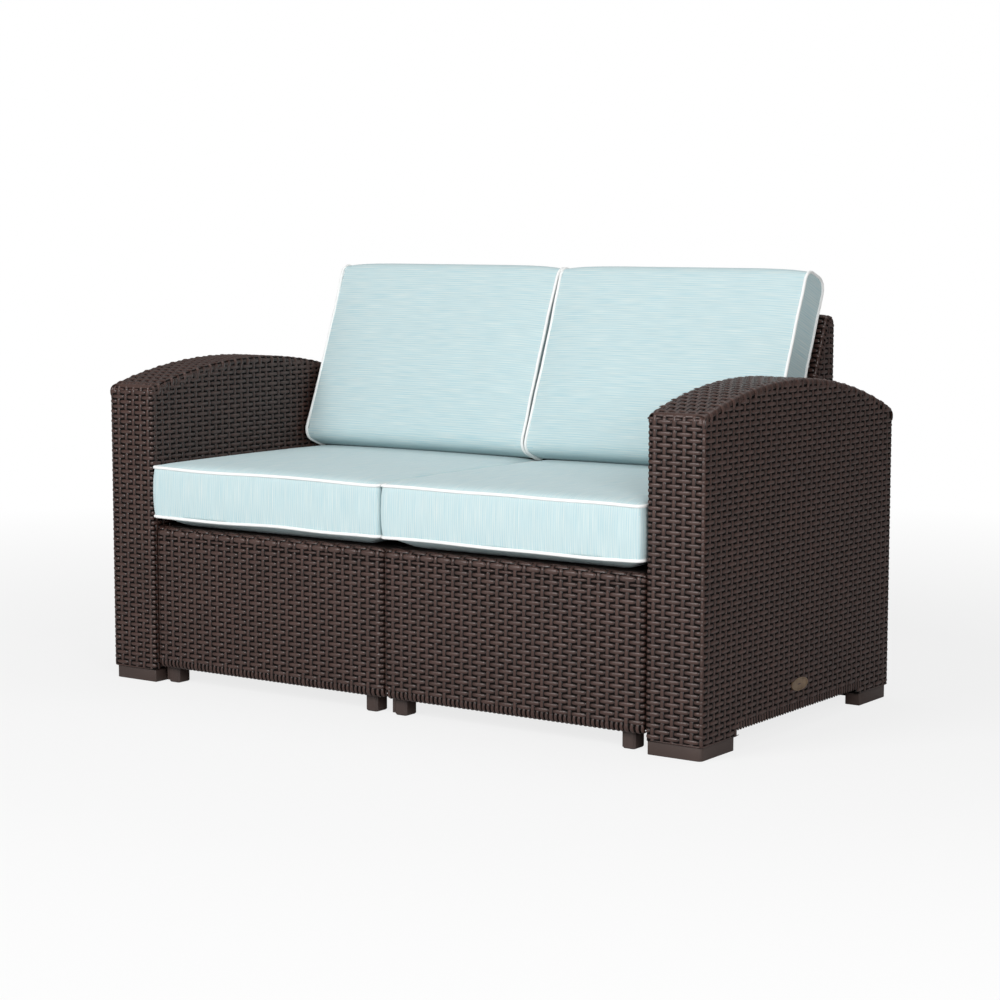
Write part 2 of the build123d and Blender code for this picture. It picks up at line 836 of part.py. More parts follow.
def back_outline(share):
    """Section of the back cushion: its front, rear and top bulge by a share of their crowns."""
    thick = back_cushion_thickness
    tall = back_cushion_height - (1 - share) * back_top_crown
    rear_top = cushion_corner(thick - back_corner_rear_top, tall - back_corner_rear_top, back_corner_rear_top, 0)
    front_top = cushion_corner(back_corner_front_top, tall - back_corner_front_top, back_corner_front_top, 90)
    front_low = cushion_corner(back_corner_front_bottom, back_corner_front_bottom, back_corner_front_bottom, 180)
    rear_low = cushion_corner(thick - back_corner_rear_bottom, back_corner_rear_bottom, back_corner_rear_bottom, 270)
    edges = [ThreePointArc(*quarter) for quarter in (rear_top, front_top, front_low, rear_low)]
    edges.append(Line(rear_top[-1], front_top[0]))
    edges.append(ThreePointArc(front_top[-1], (-share * back_crown, tall / 2), front_low[0]))
    edges.append(Line(front_low[-1], rear_low[0]))
    edges.append(ThreePointArc(rear_low[-1], (thick + share * back_lean_crown, tall / 2), rear_top[0]))
    return Curve() + edges


def back_cushion_form():
    """Wrapped cushion: crowned front and rear that come in to two flat end gussets."""
    half = cushion_half_width()
    right = list(zip(crown_place_shares, crown_height_shares))
    left = [(-place, share) for place, share in reversed(right)]
    sections = [back_section_plane(place * half) * make_face(back_outline(share)) for place, share in left + right]
    return loft(sections, ruled=True)


def back_core(gap):
    """Foam slab inside the back cushion, or the room for it when a gap is given."""
    half = cushion_half_width() - core_inset + gap
    low = core_inset - gap
    thick = back_cushion_thickness - core_inset / 2 + gap
    tall = back_cushion_height - core_inset + gap
    slab = Pos((core_inset / 2 - gap + thick) / 2, (low + tall) / 2) * Rectangle(thick - core_inset / 2 + gap, tall - low)
    return extrude(back_section_plane(-half) * slab, 2 * half)


def write(shape, node):
    solids = shape if isinstance(shape, list) else [shape]
    solids = [solid for one in solids for solid in one.solids()]
    whole = solids[0] if len(solids) == 1 else Compound(children=solids)
    export_step(whole, f"parts/{node}.step")


def write_arms():
    shell = arm_outer_shell()
    panel = arm_inner_panel()
    front_foot = arm_foot(True)
    rear_foot = arm_foot(False)
    write(shell, "arm_right_outer_shell")
    write(panel, "arm_right_inner_panel")
    write(front_foot, "arm_right_front_foot")
    write(rear_foot, "arm_right_rear_foot")
    write(badge(), "arm_right_badge")
    plain_shell = shell + badge_form(
        badge_length + 2 * fit_gap, badge_height + 2 * fit_gap, arm_outer - badge_wall, arm_outer
    )
    write(mirrored(plain_shell), "arm_left_outer_shell")
    write(mirrored(panel), "arm_left_inner_panel")
    write(mirrored(front_foot), "arm_left_front_foot")
    write(mirrored(rear_foot), "arm_left_rear_foot")


def write_modules():
    pieces = {
        "seat_{}_deck": seat_deck(),
        "seat_{}_front_skirt": skirt(),
        "seat_{}_rear_skirt": rear_skirt(),
        "seat_{}_left_gable": gable(True),
        "seat_{}_right_gable": gable(False),
        "back_{}_shell": back_shell(),
        "back_{}_rear_cover": back_cover(),
    }
    for side, place in module_places.items():
        for node, piece in pieces.items():
            write(Pos(place, 0, 0) * piece, node.format(side))
        for row, name in enumerate(("front", "rear")):
            write([Pos(place, 0, 0) * one for one in legs(row)], f"seat_{side}_{name}_legs")


def write_keys():
    for joint, group in keys().items():
        write(group, f"joining_keys_{joint}")


def write_cushions():
    pieces = {
        "seat_cushion_{}_cover": seat_form() - seat_core(fit_gap),
        "seat_cushion_{}_core": seat_core(0),
        "back_cushion_{}_cover": back_cushion_form() - back_core(fit_gap),
        "back_cushion_{}_core": back_core(0),
    }
    for side, place in module_halves.items():
        for node, piece in pieces.items():
            write(Pos(place, 0, 0) * piece, node.format(side))


write_arms()
write_modules()
write_keys()
write_cushions()
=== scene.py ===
import bpy
import bmesh
import math
import numpy as np
from mathutils import Matrix, Vector


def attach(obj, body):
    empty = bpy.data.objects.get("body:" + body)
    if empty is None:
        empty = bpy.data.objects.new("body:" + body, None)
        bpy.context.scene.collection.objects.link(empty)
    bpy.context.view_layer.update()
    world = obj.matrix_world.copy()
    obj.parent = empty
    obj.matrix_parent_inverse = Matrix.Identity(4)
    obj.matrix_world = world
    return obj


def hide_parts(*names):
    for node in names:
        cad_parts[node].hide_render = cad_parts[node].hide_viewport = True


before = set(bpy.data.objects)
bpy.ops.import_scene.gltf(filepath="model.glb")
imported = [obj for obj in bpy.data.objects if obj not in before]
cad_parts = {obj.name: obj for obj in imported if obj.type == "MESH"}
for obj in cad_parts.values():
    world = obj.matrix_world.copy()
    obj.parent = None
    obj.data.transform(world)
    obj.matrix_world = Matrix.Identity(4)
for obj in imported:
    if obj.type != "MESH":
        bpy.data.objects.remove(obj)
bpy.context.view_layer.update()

mm = 0.001
shade = {}
print("frame loaded")


# helpers shared by every piece

def sceneObject(name, mesh):
    piece = bpy.data.objects.new(name, mesh)
    bpy.context.scene.collection.objects.link(piece)
    return piece


def finishPiece(name, mesh, body, material, replaced=()):
    mesh.materials.clear()
    mesh.materials.append(material)
    mesh.shade_smooth()
    piece = sceneObject(name, mesh)
    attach(piece, body)
    if replaced:
        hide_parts(*replaced)
    return piece


def bakedMesh(piece):
    # the mesh that the modifiers make, then the object goes
    graph = bpy.context.evaluated_depsgraph_get()
    graph.update()
    mesh = bpy.data.meshes.new_from_object(piece.evaluated_get(graph))
    bpy.data.objects.remove(piece)
    return mesh


def meshOf(bm, name):
    mesh = bpy.data.meshes.new(name)
    bm.to_mesh(mesh)
    bm.free()
    return mesh


def grownFrom(made, kind):
    # the parts of one kind that an operator made
    return [item for item in made["geom"] if isinstance(item, kind)]


def coordsOf(mesh):
    flat = np.empty(len(mesh.vertices) * 3)
    mesh.vertices.foreach_get("co", flat)
    return flat.reshape(-1, 3)


def moveCoords(mesh, coords):
    mesh.vertices.foreach_set("co", np.ascontiguousarray(coords, dtype=np.float64).ravel())
    mesh.update()


def sharpEdges(bm):
    return [edge for edge in bm.edges if len(edge.link_faces) == 2 and edge.calc_face_angle() > 0.9]


def bevelled(bm, edges, offset, segments):
    bmesh.ops.bevel(
        bm, geom=edges, offset=offset, segments=segments, affect="EDGES", profile=0.5, material=-1
    )


def dropVerts(mesh, doomed):
    bm = bmesh.new()
    bm.from_mesh(mesh)
    bm.verts.ensure_lookup_table()
    bmesh.ops.delete(bm, geom=[bm.verts[i] for i in np.flatnonzero(doomed)], context="VERTS")
    bm.to_mesh(mesh)
    bm.free()
    return mesh


def cutMesh(mesh, cuts):
    # each cut is a point and the direction that is taken away
    bm = bmesh.new()
    bm.from_mesh(mesh)
    for point, away in cuts:
        everything = bm.verts[:] + bm.edges[:] + bm.faces[:]
        bmesh.ops.bisect_plane(
            bm, geom=everything, dist=1e-5, plane_co=point, plane_no=away, clear_outer=True
        )
    bm.to_mesh(mesh)
    bm.free()
    return mesh


# shader groups

def newGroup(name, inputs, outputs):
    group = bpy.data.node_groups.new(name, "ShaderNodeTree")
    for label, kind, value in inputs:
        socket = group.interface.new_socket(name=label, in_out="INPUT", socket_type=kind)
        socket.default_value = value
    for label, kind in outputs:
        group.interface.new_socket(name=label, in_out="OUTPUT", socket_type=kind)
    return group, group.nodes.new("NodeGroupInput"), group.nodes.new("NodeGroupOutput")


def mathNode(tree, operation, first, second=None, third=None, clamp=False):
    node = tree.nodes.new("ShaderNodeMath")
    node.operation = operation
    node.use_clamp = clamp
    for place, value in enumerate((first, second, third)):
        if value is None:
            continue
        if isinstance(value, (int, float)):
            node.inputs[place].default_value = value
        else:
            tree.links.new(value, node.inputs[place])
    return node.outputs[0]


def mixColour(tree, factor, first, second, blend="MIX"):
    node = tree.nodes.new("ShaderNodeMix")
    node.data_type = "RGBA"
    node.blend_type = blend
    for place, value in ((0, factor), (6, first), (7, second)):
        if isinstance(value, (int, float, tuple)):
            node.inputs[place].default_value = value
        else:
            tree.links.new(value, node.inputs[place])
    return node.outputs[2]


def noiseNode(tree, vector, scale, detail=2.0, rough=0.5):
    node = tree.nodes.new("ShaderNodeTexNoise")
    node.inputs["Scale"].default_value = scale
    node.inputs["Detail"].default_value = detail
    node.inputs["Roughness"].default_value = rough
    tree.links.new(vector, node.inputs["Vector"])
    return node.outputs["Fac"]


def buildMouldGrain():
    # fine moulded-resin grain, with a broad uneven tone
    group, given, put = newGroup(
        "mouldGrain",
        [("Grain Scale", "NodeSocketFloat", 900.0), ("Tone Scale", "NodeSocketFloat", 9.0)],
        [("Grain", "NodeSocketFloat"), ("Tone", "NodeSocketFloat")],
    )
    place = group.nodes.new("ShaderNodeTexCoord").outputs["Object"]
    for label, socket, detail in (("Grain Scale", "Grain", 3.0), ("Tone Scale", "Tone", 4.0)):
        noise = group.nodes.new("ShaderNodeTexNoise")
        noise.inputs["Detail"].default_value = detail
        group.links.new(place, noise.inputs["Vector"])
        group.links.new(given.outputs[label], noise.inputs["Scale"])
        group.links.new(noise.outputs["Fac"], put.inputs[socket])
    return group


def buildClothStreaks():
    # streaked cloth: uneven fine lines across one direction, and the thread itself
    group, given, put = newGroup(
        "clothStreaks",
        [
            ("Place", "NodeSocketVector", (0.0, 0.0, 0.0)),
            ("Line Scale", "NodeSocketFloat", 560.0),
            ("Run Scale", "NodeSocketFloat", 16.0),
            ("Thread Scale", "NodeSocketFloat", 1300.0),
        ],
        [("Streak", "NodeSocketFloat"), ("Broad", "NodeSocketFloat"), ("Thread", "NodeSocketFloat")],
    )
    split = group.nodes.new("ShaderNodeSeparateXYZ")
    group.links.new(given.outputs["Place"], split.inputs[0])
    across = mathNode(group, "MULTIPLY", split.outputs[0], given.outputs["Line Scale"])
    alongY = mathNode(group, "MULTIPLY", split.outputs[1], given.outputs["Run Scale"])
    alongZ = mathNode(group, "MULTIPLY", split.outputs[2], given.outputs["Run Scale"])
    for factor, socket, detail in ((1.0, "Streak", 0.6), (0.12, "Broad", 2.0)):
        join = group.nodes.new("ShaderNodeCombineXYZ")
        group.links.new(mathNode(group, "MULTIPLY", across, factor), join.inputs[0])
        group.links.new(alongY, join.inputs[1])
        group.links.new(alongZ, join.inputs[2])
        noise = noiseNode(group, join.outputs[0], 1.0, detail, 0.6)
        group.links.new(noise, put.inputs[socket])
    threads = mathNode(group, "MULTIPLY", split.outputs[0], given.outputs["Thread Scale"])
    thread = mathNode(group, "SINE", threads)
    group.links.new(thread, put.inputs["Thread"])
    return group


def newMaterial(name):
    material = bpy.data.materials.new(name)
    material.use_nodes = True
    tree = material.node_tree
    return material, tree, tree.nodes["Principled BSDF"]


def groupNode(tree, group, **values):
    node = tree.nodes.new("ShaderNodeGroup")
    node.node_tree = group
    for label, value in values.items():
        node.inputs[label.replace("_", " ")].default_value = value
    return node


def bumpNode(tree, height, strength, distance):
    node = tree.nodes.new("ShaderNodeBump")
    node.inputs["Strength"].default_value = strength
    node.inputs["Distance"].default_value = distance
    tree.links.new(height, node.inputs["Height"])
    return node.outputs["Normal"]


resin = {
    "colour": (0.052, 0.0262, 0.0208, 1),
    # painted shade: near-black laid on the weave's low parts, where shade falls in the creases and at the
    # diving ends
    "paintedHollowShade": (0.0035, 0.0022, 0.0019, 1),
    # painted highlight: a lighter brown laid on the crowns of the strands
    "paintedCrownHighlight": (0.088, 0.054, 0.046, 1),
    # painted shade: near-black for the shells behind the weave, so the slots between the strands read as
    # shadowed holes
    "backingPaintedShade": (0.004, 0.003, 0.0027, 1),
    "plain": (0.052, 0.034, 0.029, 1),
    "inner": (0.034, 0.023, 0.020, 1),
    "roughness": 0.36,
}


def resinMaterial(name, woven, colour=None, roughness=None, shine=0.43):
    material, tree, shader = newMaterial(name)
    base = colour or resin["colour"]
    grain = groupNode(tree, shade["mouldGrain"], Grain_Scale=1400.0, Tone_Scale=14.0)
    tone = mathNode(tree, "MULTIPLY_ADD", grain.outputs["Tone"], 0.5, 0.75)
    colourOut = mixColour(tree, 1.0, base, tone, "MULTIPLY")
    if woven:
        relief = tree.nodes.new("ShaderNodeAttribute")
        relief.attribute_name = "relief"
        strand = tree.nodes.new("ShaderNodeAttribute")
        strand.attribute_name = "strandTone"
        strandTone = mathNode(tree, "MULTIPLY_ADD", strand.outputs["Fac"], 0.24, 0.88)
        colourOut = mixColour(tree, 1.0, colourOut, strandTone, "MULTIPLY")
        # painted shade: the low parts of the relief, the strands' edges and the ends that dive under, are
        # darkened to near black
        outOfPaintedShade = mathNode(tree, "MULTIPLY_ADD", relief.outputs["Fac"], 2.2, -0.42, clamp=True)
        colourOut = mixColour(tree, outOfPaintedShade, resin["paintedHollowShade"], colourOut)
        # painted highlight: the highest crowns of the strands are lightened towards a lighter brown
        top = mathNode(tree, "MULTIPLY_ADD", relief.outputs["Fac"], 4.0, -3.2, clamp=True)
        colourOut = mixColour(tree, mathNode(tree, "MULTIPLY", top, 0.35), colourOut, resin["paintedCrownHighlight"])
    tree.links.new(colourOut, shader.inputs["Base Color"])
    level = roughness or resin["roughness"]
    rough = mathNode(tree, "MULTIPLY_ADD", grain.outputs["Tone"], 0.16, level - 0.08)
    tree.links.new(rough, shader.inputs["Roughness"])
    tree.links.new(bumpNode(tree, grain.outputs["Grain"], 0.25, 0.0004), shader.inputs["Normal"])
    shader.inputs["Specular IOR Level"].default_value = shine
    return material


# woven relief, in millimetres

weave = {
    "pitch": 19.8,
    "row": 10.12,
    "strandWidth": 8.6,
    "brickHeight": 7.9,
    "brickEndGap": -0.5,
    "rise": 2.6,
    "strandRise": 2.0,
    "ribRise": 2.3,
    "tuck": 1.0,
    "rimWidth": 9.0,
}


def strandPatch(bm, centre, size, alongX, steps, crown, dive, edge):
    # one moulded strand: a crowned grid that dives at its ends and turns down at its edges
    made = bmesh.ops.create_grid(bm, x_segments=steps[0], y_segments=steps[1], size=1.0)
    for vert in made["verts"]:
        along = math.copysign(1 - (1 - abs(vert.co.x)) ** 1.6, vert.co.x)
        across = math.copysign(abs(vert.co.y) ** 0.75, vert.co.y)
        height = crown * (1 - 0.32 * along * along) - dive * abs(along) ** 12
        height -= edge * (0.16 * across * across + 0.84 * across**4)
        x = along * size[0] / 2
        y = across * size[1] / 2 * (1 - 0.2 * abs(along) ** 3)
        vert.co = Vector((x, y, height)) if alongX else Vector((y, x, height))
        vert.co += Vector((centre[0], centre[1], 0))


def weaveTile(brickRise, stubRise):
    bm = bmesh.new()
    pitch, row = weave["pitch"], weave["row"]
    brick = (2 * pitch - weave["strandWidth"] - 2 * weave["brickEndGap"], weave["brickHeight"])
    stub = (2 * row - weave["brickHeight"] + 2 * weave["tuck"], weave["strandWidth"])
    for place in ((0, 0), (pitch, row)):
        strandPatch(bm, place, brick, True, (8, 4), brickRise, 2.4, 1.9)
    for place in ((pitch, 0), (0, row)):
        strandPatch(bm, place, stub, False, (4, 4), stubRise, 0.3, 1.6)
    return meshOf(bm, "tile")


def repeated(mesh, stepX, countX, stepY=0, countY=1):
    piece = sceneObject("tile", mesh)
    for step, count in (((stepX, 0, 0), countX), ((0, stepY, 0), countY)):
        if count < 2:
            continue
        array = piece.modifiers.new("repeat", "ARRAY")
        array.use_relative_offset = False
        array.use_constant_offset = True
        array.constant_offset_displace = step
        array.count = count
    return bakedMesh(piece)


def strandCentres(mesh):
    # the middle of each loose strand, given at each of its vertices, and the strand's number
    coords = coordsOf(mesh)
    count = len(coords)
    label = np.arange(count)
    edges = np.empty(len(mesh.edges) * 2, dtype=np.int64)
    mesh.edges.foreach_get("vertices", edges)
    edges = edges.reshape(-1, 2)
    while True:
        low = np.minimum(label[edges[:, 0]], label[edges[:, 1]])
        before = label.copy()
        np.minimum.at(label, edges[:, 0], low)
        np.minimum.at(label, edges[:, 1], low)
        label = label[label]
        if (before == label).all():
            break
    total = np.bincount(label, minlength=count).astype(float)
    total[total == 0] = 1
    sums = [np.bincount(label, coords[:, axis], minlength=count) for axis in range(3)]
    centres = np.stack([part / total for part in sums], 1)
    return centres[label], label


def markStrands(mesh, seed):
    # relief, which the resin material turns into painted shade in the low parts and a painted highlight on
    # the crowns, and a tone of its own for each strand
    coords = coordsOf(mesh)
    label = strandCentres(mesh)[1]
    draw = np.random.default_rng(seed).random(len(coords))
    relief = np.clip(coords[:, 2] / weave["rise"], 0, 1)
    for name, values in (("relief", relief), ("strandTone", draw[label])):
        layer = mesh.attributes.new(name, "FLOAT", "POINT")
        layer.data.foreach_set("value", values.astype(np.float32))


def weaveSheet(
    firstColumn, lastColumn, firstRow, lastRow, brickRise=weave["rise"], stubRise=weave["strandRise"]
):
    # flat woven sheet; column 0 and row 0 cross under a brick at the origin
    pitch, row = weave["pitch"], weave["row"]
    startX = 2 * math.floor((firstColumn - 2) / 2)
    startY = 2 * math.floor((firstRow - 2) / 2)
    countX = math.ceil((lastColumn - startX + 2) / 2)
    countY = math.ceil((lastRow - startY + 2) / 2)
    mesh = repeated(weaveTile(brickRise, stubRise), 2 * pitch, countX, 2 * row, countY)
    coords = coordsOf(mesh) + np.array([startX * pitch, startY * row, 0])
    moveCoords(mesh, coords)
    centres = strandCentres(mesh)[0]
    doomed = (centres[:, 0] < (firstColumn - 1) * pitch) | (centres[:, 0] > (lastColumn + 1) * pitch)
    doomed |= (centres[:, 1] < (firstRow - 0.1) * row) | (centres[:, 1] > (lastRow + 0.1) * row)
    return dropVerts(mesh, doomed)


def cutColumns(mesh, first, last):
    pitch = weave["pitch"]
    return cutMesh(mesh, [((first * pitch, 0, 0), (-1, 0, 0)), ((last * pitch, 0, 0), (1, 0, 0))])


def ribRow(places, widths, low, high):
    # upright ribs side by side, in flat millimetres
    bm = bmesh.new()
    for place, width in zip(places, widths):
        size = (high - low, width)
        middle = (place, (low + high) / 2)
        strandPatch(bm, middle, size, False, (8, 4), weave["ribRise"], 0.6, 1.4)
    return meshOf(bm, "ribs")


def joined(meshes):
    bm = bmesh.new()
    for mesh in meshes:
        bm.from_mesh(mesh)
    whole = meshOf(bm, "joined")
    return whole


# profiles that the flat sheets are laid on

def roundedProfile(corners, radii, facing=1, step=1.0):
    # a line of corners with arcs in them; it faces left of the way along, or right where facing is -1
    points = [Vector(corner) for corner in corners]
    track = [points[0]]
    for before, corner, after, radius in zip(points, points[1:], points[2:], radii):
        inward, outward = (before - corner).normalized(), (after - corner).normalized()
        half = inward.angle(outward) / 2
        if radius <= 0 or half > math.pi / 2 - 0.005:
            track.append(corner)
            continue
        reach = radius / math.tan(half)
        centre = corner + (inward + outward).normalized() * radius / math.sin(half)
        first, last = corner + inward * reach - centre, corner + outward * reach - centre
        turn = first.angle_signed(last)
        count = max(4, int(abs(turn) * radius / step))
        for place in range(count + 1):
            track.append(centre + first @ Matrix.Rotation(turn * place / count, 2))
    track.append(points[-1])
    return finishProfile(track, facing)


def finishProfile(track, facing=1):
    line = np.array([tuple(point) for point in track])
    keep = np.ones(len(line), bool)
    keep[1:] = np.linalg.norm(np.diff(line, axis=0), axis=1) > 1e-4
    line = line[keep]
    gaps = np.linalg.norm(np.diff(line, axis=0), axis=1)
    length = np.concatenate([[0], np.cumsum(gaps)])
    tangent = np.diff(line, axis=0) / gaps[:, None]
    middle = (length[:-1] + length[1:]) / 2
    return {"length": length, "points": line, "middle": middle, "tangent": tangent, "facing": facing}


def onProfile(profile, along):
    length, points = profile["length"], profile["points"]
    inside = np.clip(along, 0, length[-1])
    first = np.interp(inside, length, points[:, 0])
    second = np.interp(inside, length, points[:, 1])
    tangent = np.stack([np.interp(inside, profile["middle"], profile["tangent"][:, k]) for k in (0, 1)], 1)
    tangent /= np.linalg.norm(tangent, axis=1)[:, None]
    over = along - inside
    first = first + over * tangent[:, 0]
    second = second + over * tangent[:, 1]
    facing = profile["facing"]
    return first, second, -facing * tangent[:, 1], facing * tangent[:, 0]


def layOn(mesh, profile, axes, across=0, low=None, high=None, corner=5.0, along=None):
    # lays a flat sheet on a profile; axes are the profile's two axes and the axis across it
    # between low and high it bends round both ends of its width as well
    coords = coordsOf(mesh)
    wide = coords[:, across].copy()
    alongAt = coords[:, 1 - across].copy() if along is None else along(coords[:, 1 - across])
    rise = coords[:, 2].copy()
    lift = rise.copy()
    if low is not None:
        for edge, way in ((low + corner, -1), (high - corner, 1)):
            beyond = (wide - edge) * way
            bend = np.clip(beyond / corner, 0, math.pi / 2)
            past = np.clip(beyond - corner * math.pi / 2, 0, None)
            touched = beyond > 0
            wide = np.where(touched, edge + way * (corner + rise) * np.sin(bend), wide)
            lift = np.where(touched, (corner + rise) * np.cos(bend) - corner - past, lift)
    first, second, faceFirst, faceSecond = onProfile(profile, alongAt)
    placed = np.empty_like(coords)
    placed[:, axes[0]] = first + faceFirst * lift
    placed[:, axes[1]] = second + faceSecond * lift
    placed[:, axes[2]] = wide
    moveCoords(mesh, placed)
    return mesh


def toMetres(mesh, mirrorX=False):
    mesh.transform(Matrix.Diagonal((-mm if mirrorX else mm, mm, mm, 1)))
    if mirrorX:
        mesh.flip_normals()
    return mesh


# camera, floor and light

view = {
    "position": (2.7714, -3.9317, 0.9313),
    "turn": (83.46, -0.05, 34.985),
    "lens": 86.99,
}


def setCamera():
    camera = bpy.data.cameras.new("camera")
    camera.lens = view["lens"]
    camera.sensor_width = 36
    piece = sceneObject("camera", camera)
    piece.location = view["position"]
    piece.rotation_euler = [math.radians(angle) for angle in view["turn"]]
    bpy.context.scene.camera = piece
    camera.clip_end = 60


studio = {
    "floor": (0.66, 0.66, 0.66, 1),
    "sky": (1, 1, 1, 1),
    "skyStrength": 0.23,
    "glow": 0.80,
    "nearRadius": 1.2,
    "farRadius": 3.4,
    "lamps": {
        "keyLight": {"place": (-0.9, -4.3, 2.6), "aim": (0, 0, 0.35), "size": 2.2, "power": 158},
        "fillLight": {"place": (2.8, -2.5, 1.5), "aim": (0.6, -0.1, 0.5), "size": 1.3, "power": 58},
        "topLight": {"place": (0.4, 0.9, 4.0), "aim": (0, 0, 0.4), "size": 2.6, "power": 34},
    },
}


def setStudio():
    bm = bmesh.new()
    bmesh.ops.create_grid(bm, x_segments=1, y_segments=1, size=14)
    mesh = meshOf(bm, "floor")
    floor = sceneObject("floor", mesh)
    material, tree, shader = newMaterial("paleFloor")
    shader.inputs["Base Color"].default_value = studio["floor"]
    shader.inputs["Roughness"].default_value = 0.9
    shader.inputs["Specular IOR Level"].default_value = 0.1
    # the camera sees the floor glow white far from the sofa, and less near it, so the shadow stays
    paths = tree.nodes.new("ShaderNodeLightPath")
    place = tree.nodes.new("ShaderNodeTexCoord").outputs["Object"]
    distance = tree.nodes.new("ShaderNodeVectorMath")
    distance.operation = "LENGTH"
    tree.links.new(place, distance.inputs[0])
    spread = tree.nodes.new("ShaderNodeMapRange")
    spread.inputs["From Min"].default_value = studio["nearRadius"]
    spread.inputs["From Max"].default_value = studio["farRadius"]
    spread.inputs["To Min"].default_value = studio["glow"]
    tree.links.new(distance.outputs["Value"], spread.inputs["Value"])
    glow = tree.nodes.new("ShaderNodeEmission")
    mix = tree.nodes.new("ShaderNodeMixShader")
    seen = mathNode(tree, "MULTIPLY", paths.outputs["Is Camera Ray"], spread.outputs[0])
    tree.links.new(seen, mix.inputs[0])
    tree.links.new(shader.outputs[0], mix.inputs[1])
    tree.links.new(glow.outputs[0], mix.inputs[2])
    tree.links.new(mix.outputs[0], tree.nodes["Material Output"].inputs[0])
    mesh.materials.append(material)

    world = bpy.data.worlds.new("studio")
    bpy.context.scene.world = world
    world.use_nodes = True
    tree = world.node_tree
    back = tree.nodes["Background"]
    back.inputs["Color"].default_value = studio["sky"]
    paths = tree.nodes.new("ShaderNodeLightPath")
    gap = 1 - studio["skyStrength"]
    strength = mathNode(tree, "MULTIPLY_ADD", paths.outputs["Is Camera Ray"], gap, studio["skyStrength"])
    tree.links.new(strength, back.inputs["Strength"])

    for name, made in studio["lamps"].items():
        lamp = bpy.data.lights.new(name, "AREA")
        lamp.size = made["size"]
        lamp.energy = made["power"]
        piece = sceneObject(name, lamp)
        piece.location = made["place"]
        aim = Vector(made["aim"]) - Vector(made["place"])
        piece.rotation_euler = aim.to_track_quat("-Z", "Y").to_euler()
    bpy.context.scene.view_settings.view_transform = "Standard"


setCamera()
setStudio()
shade["mouldGrain"] = buildMouldGrain()
shade["clothStreaks"] = buildClothStreaks()
shade["woven"] = resinMaterial("wovenResin", True)
# painted shade: the shells behind the weave are near-black and hardly reflect, so the slots read as shadowed
# holes
shade["backingPaintedShade"] = resinMaterial("backingPaintedShadeResin", False, resin["backingPaintedShade"], roughness=0.7, shine=0.05)
shade["plain"] = resinMaterial("plainResin", False, resin["plain"], roughness=0.45)
shade["inner"] = resinMaterial("innerResin", False, resin["inner"], roughness=0.55)
print("camera, studio and materials ready")


# arms

arm = {
    "inner": 585.0,
    "outer": 697.5,
    "front": -357.0,
    "back": 369.0,
    "bottom": 25.0,
    "apron": 37.0,
    "padLength": 124.0,
    "archRadius": 1110.0,
    "archTop": 648.5,
    "archMiddle": -36.0,
    "frontRounding": 15.0,
    "rearRounding": 22.0,
    "corner": 5.0,
    "sideColumns": 37,
    "roundColumns": 84,
    "rowZero": 23.5,
    "rim": 7.0,
    "topRowZero": 589.8,
    "topRows": 10,
    "topBrickRise": 2.1,
    "topStubRise": 2.8,
    "hiddenBelow": 296.0,
}


def archHeight(y):
    radius = arm["archRadius"]
    return arm["archTop"] - radius + np.sqrt(radius**2 - (y - arm["archMiddle"]) ** 2)


def armRing():
    # round the arm at one level, from and to the middle of the inner side
    low, high, front, back = arm["inner"], arm["outer"], arm["front"], arm["back"]
    middle = (front + back) / 2
    corners = [(low, middle), (low, front), (high, front), (high, back), (low, back), (low, middle)]
    return roundedProfile(corners, [arm["corner"]] * 4, facing=-1)


def arcPoints(centreY, centreZ, radius, first, last, count):
    turns = [first + (last - first) * place / count for place in range(count + 1)]
    places = [(centreY + radius * math.sin(turn), centreZ + radius * math.cos(turn)) for turn in turns]
    return [Vector(place) for place in places]


def armTopProfile():
    # up the front, over the rounded edge and the arch, and down the rear, as y and z
    radius, middle = arm["archRadius"], arm["archMiddle"]
    centreZ = arm["archTop"] - radius
    ends = []
    edges = ((arm["front"], arm["frontRounding"], 1), (arm["back"], arm["rearRounding"], -1))
    for edge, rounding, way in edges:
        centreY = edge + way * rounding
        height = centreZ + math.sqrt((radius - rounding) ** 2 - (centreY - middle) ** 2)
        ends.append((centreY, height, rounding, math.atan2(centreY - middle, height - centreZ)))
    front, rear = ends
    track = [Vector((arm["front"], arm["bottom"]))]
    track += arcPoints(*front[:3], -math.pi / 2, front[3], 16)
    track += arcPoints(middle, centreZ, radius, front[3], rear[3], 200)[1:-1]
    track += arcPoints(*rear[:3], rear[3], math.pi / 2, 16)
    track.append(Vector((arm["back"], arm["bottom"])))
    return finishProfile(track), front[1], rear[1]


def armColumns():
    # the columns at the ends of each face and the lengths round the ring where they stand
    ring = armRing()
    quarter = arm["corner"] * math.pi / 4
    half = (arm["back"] - arm["front"]) / 2 - arm["corner"]
    face = arm["outer"] - arm["inner"] - 2 * arm["corner"] + 2 * quarter
    side = 2 * (half + quarter)
    ridge = half + quarter + face
    faceColumns = face / weave["pitch"]
    spare = (arm["roundColumns"] - arm["sideColumns"] - 2 * faceColumns) / 2
    columns = [-faceColumns - spare, -faceColumns, 0, arm["sideColumns"]]
    columns += [arm["sideColumns"] + faceColumns, arm["sideColumns"] + faceColumns + spare]
    lengths = [0, ridge - face, ridge, ridge + side, ridge + side + face, ring["length"][-1]]
    return ring, columns, lengths


def sideColumnY(column):
    quarter = arm["corner"] * math.pi / 4
    first, last = arm["front"] + arm["corner"] - quarter, arm["back"] - arm["corner"] + quarter
    return first + column / arm["sideColumns"] * (last - first)


def apronDepth(y):
    # true where the arm's lower edge steps up between its two pads
    return (y > arm["front"] + arm["padLength"]) & (y < arm["back"] - arm["padLength"])


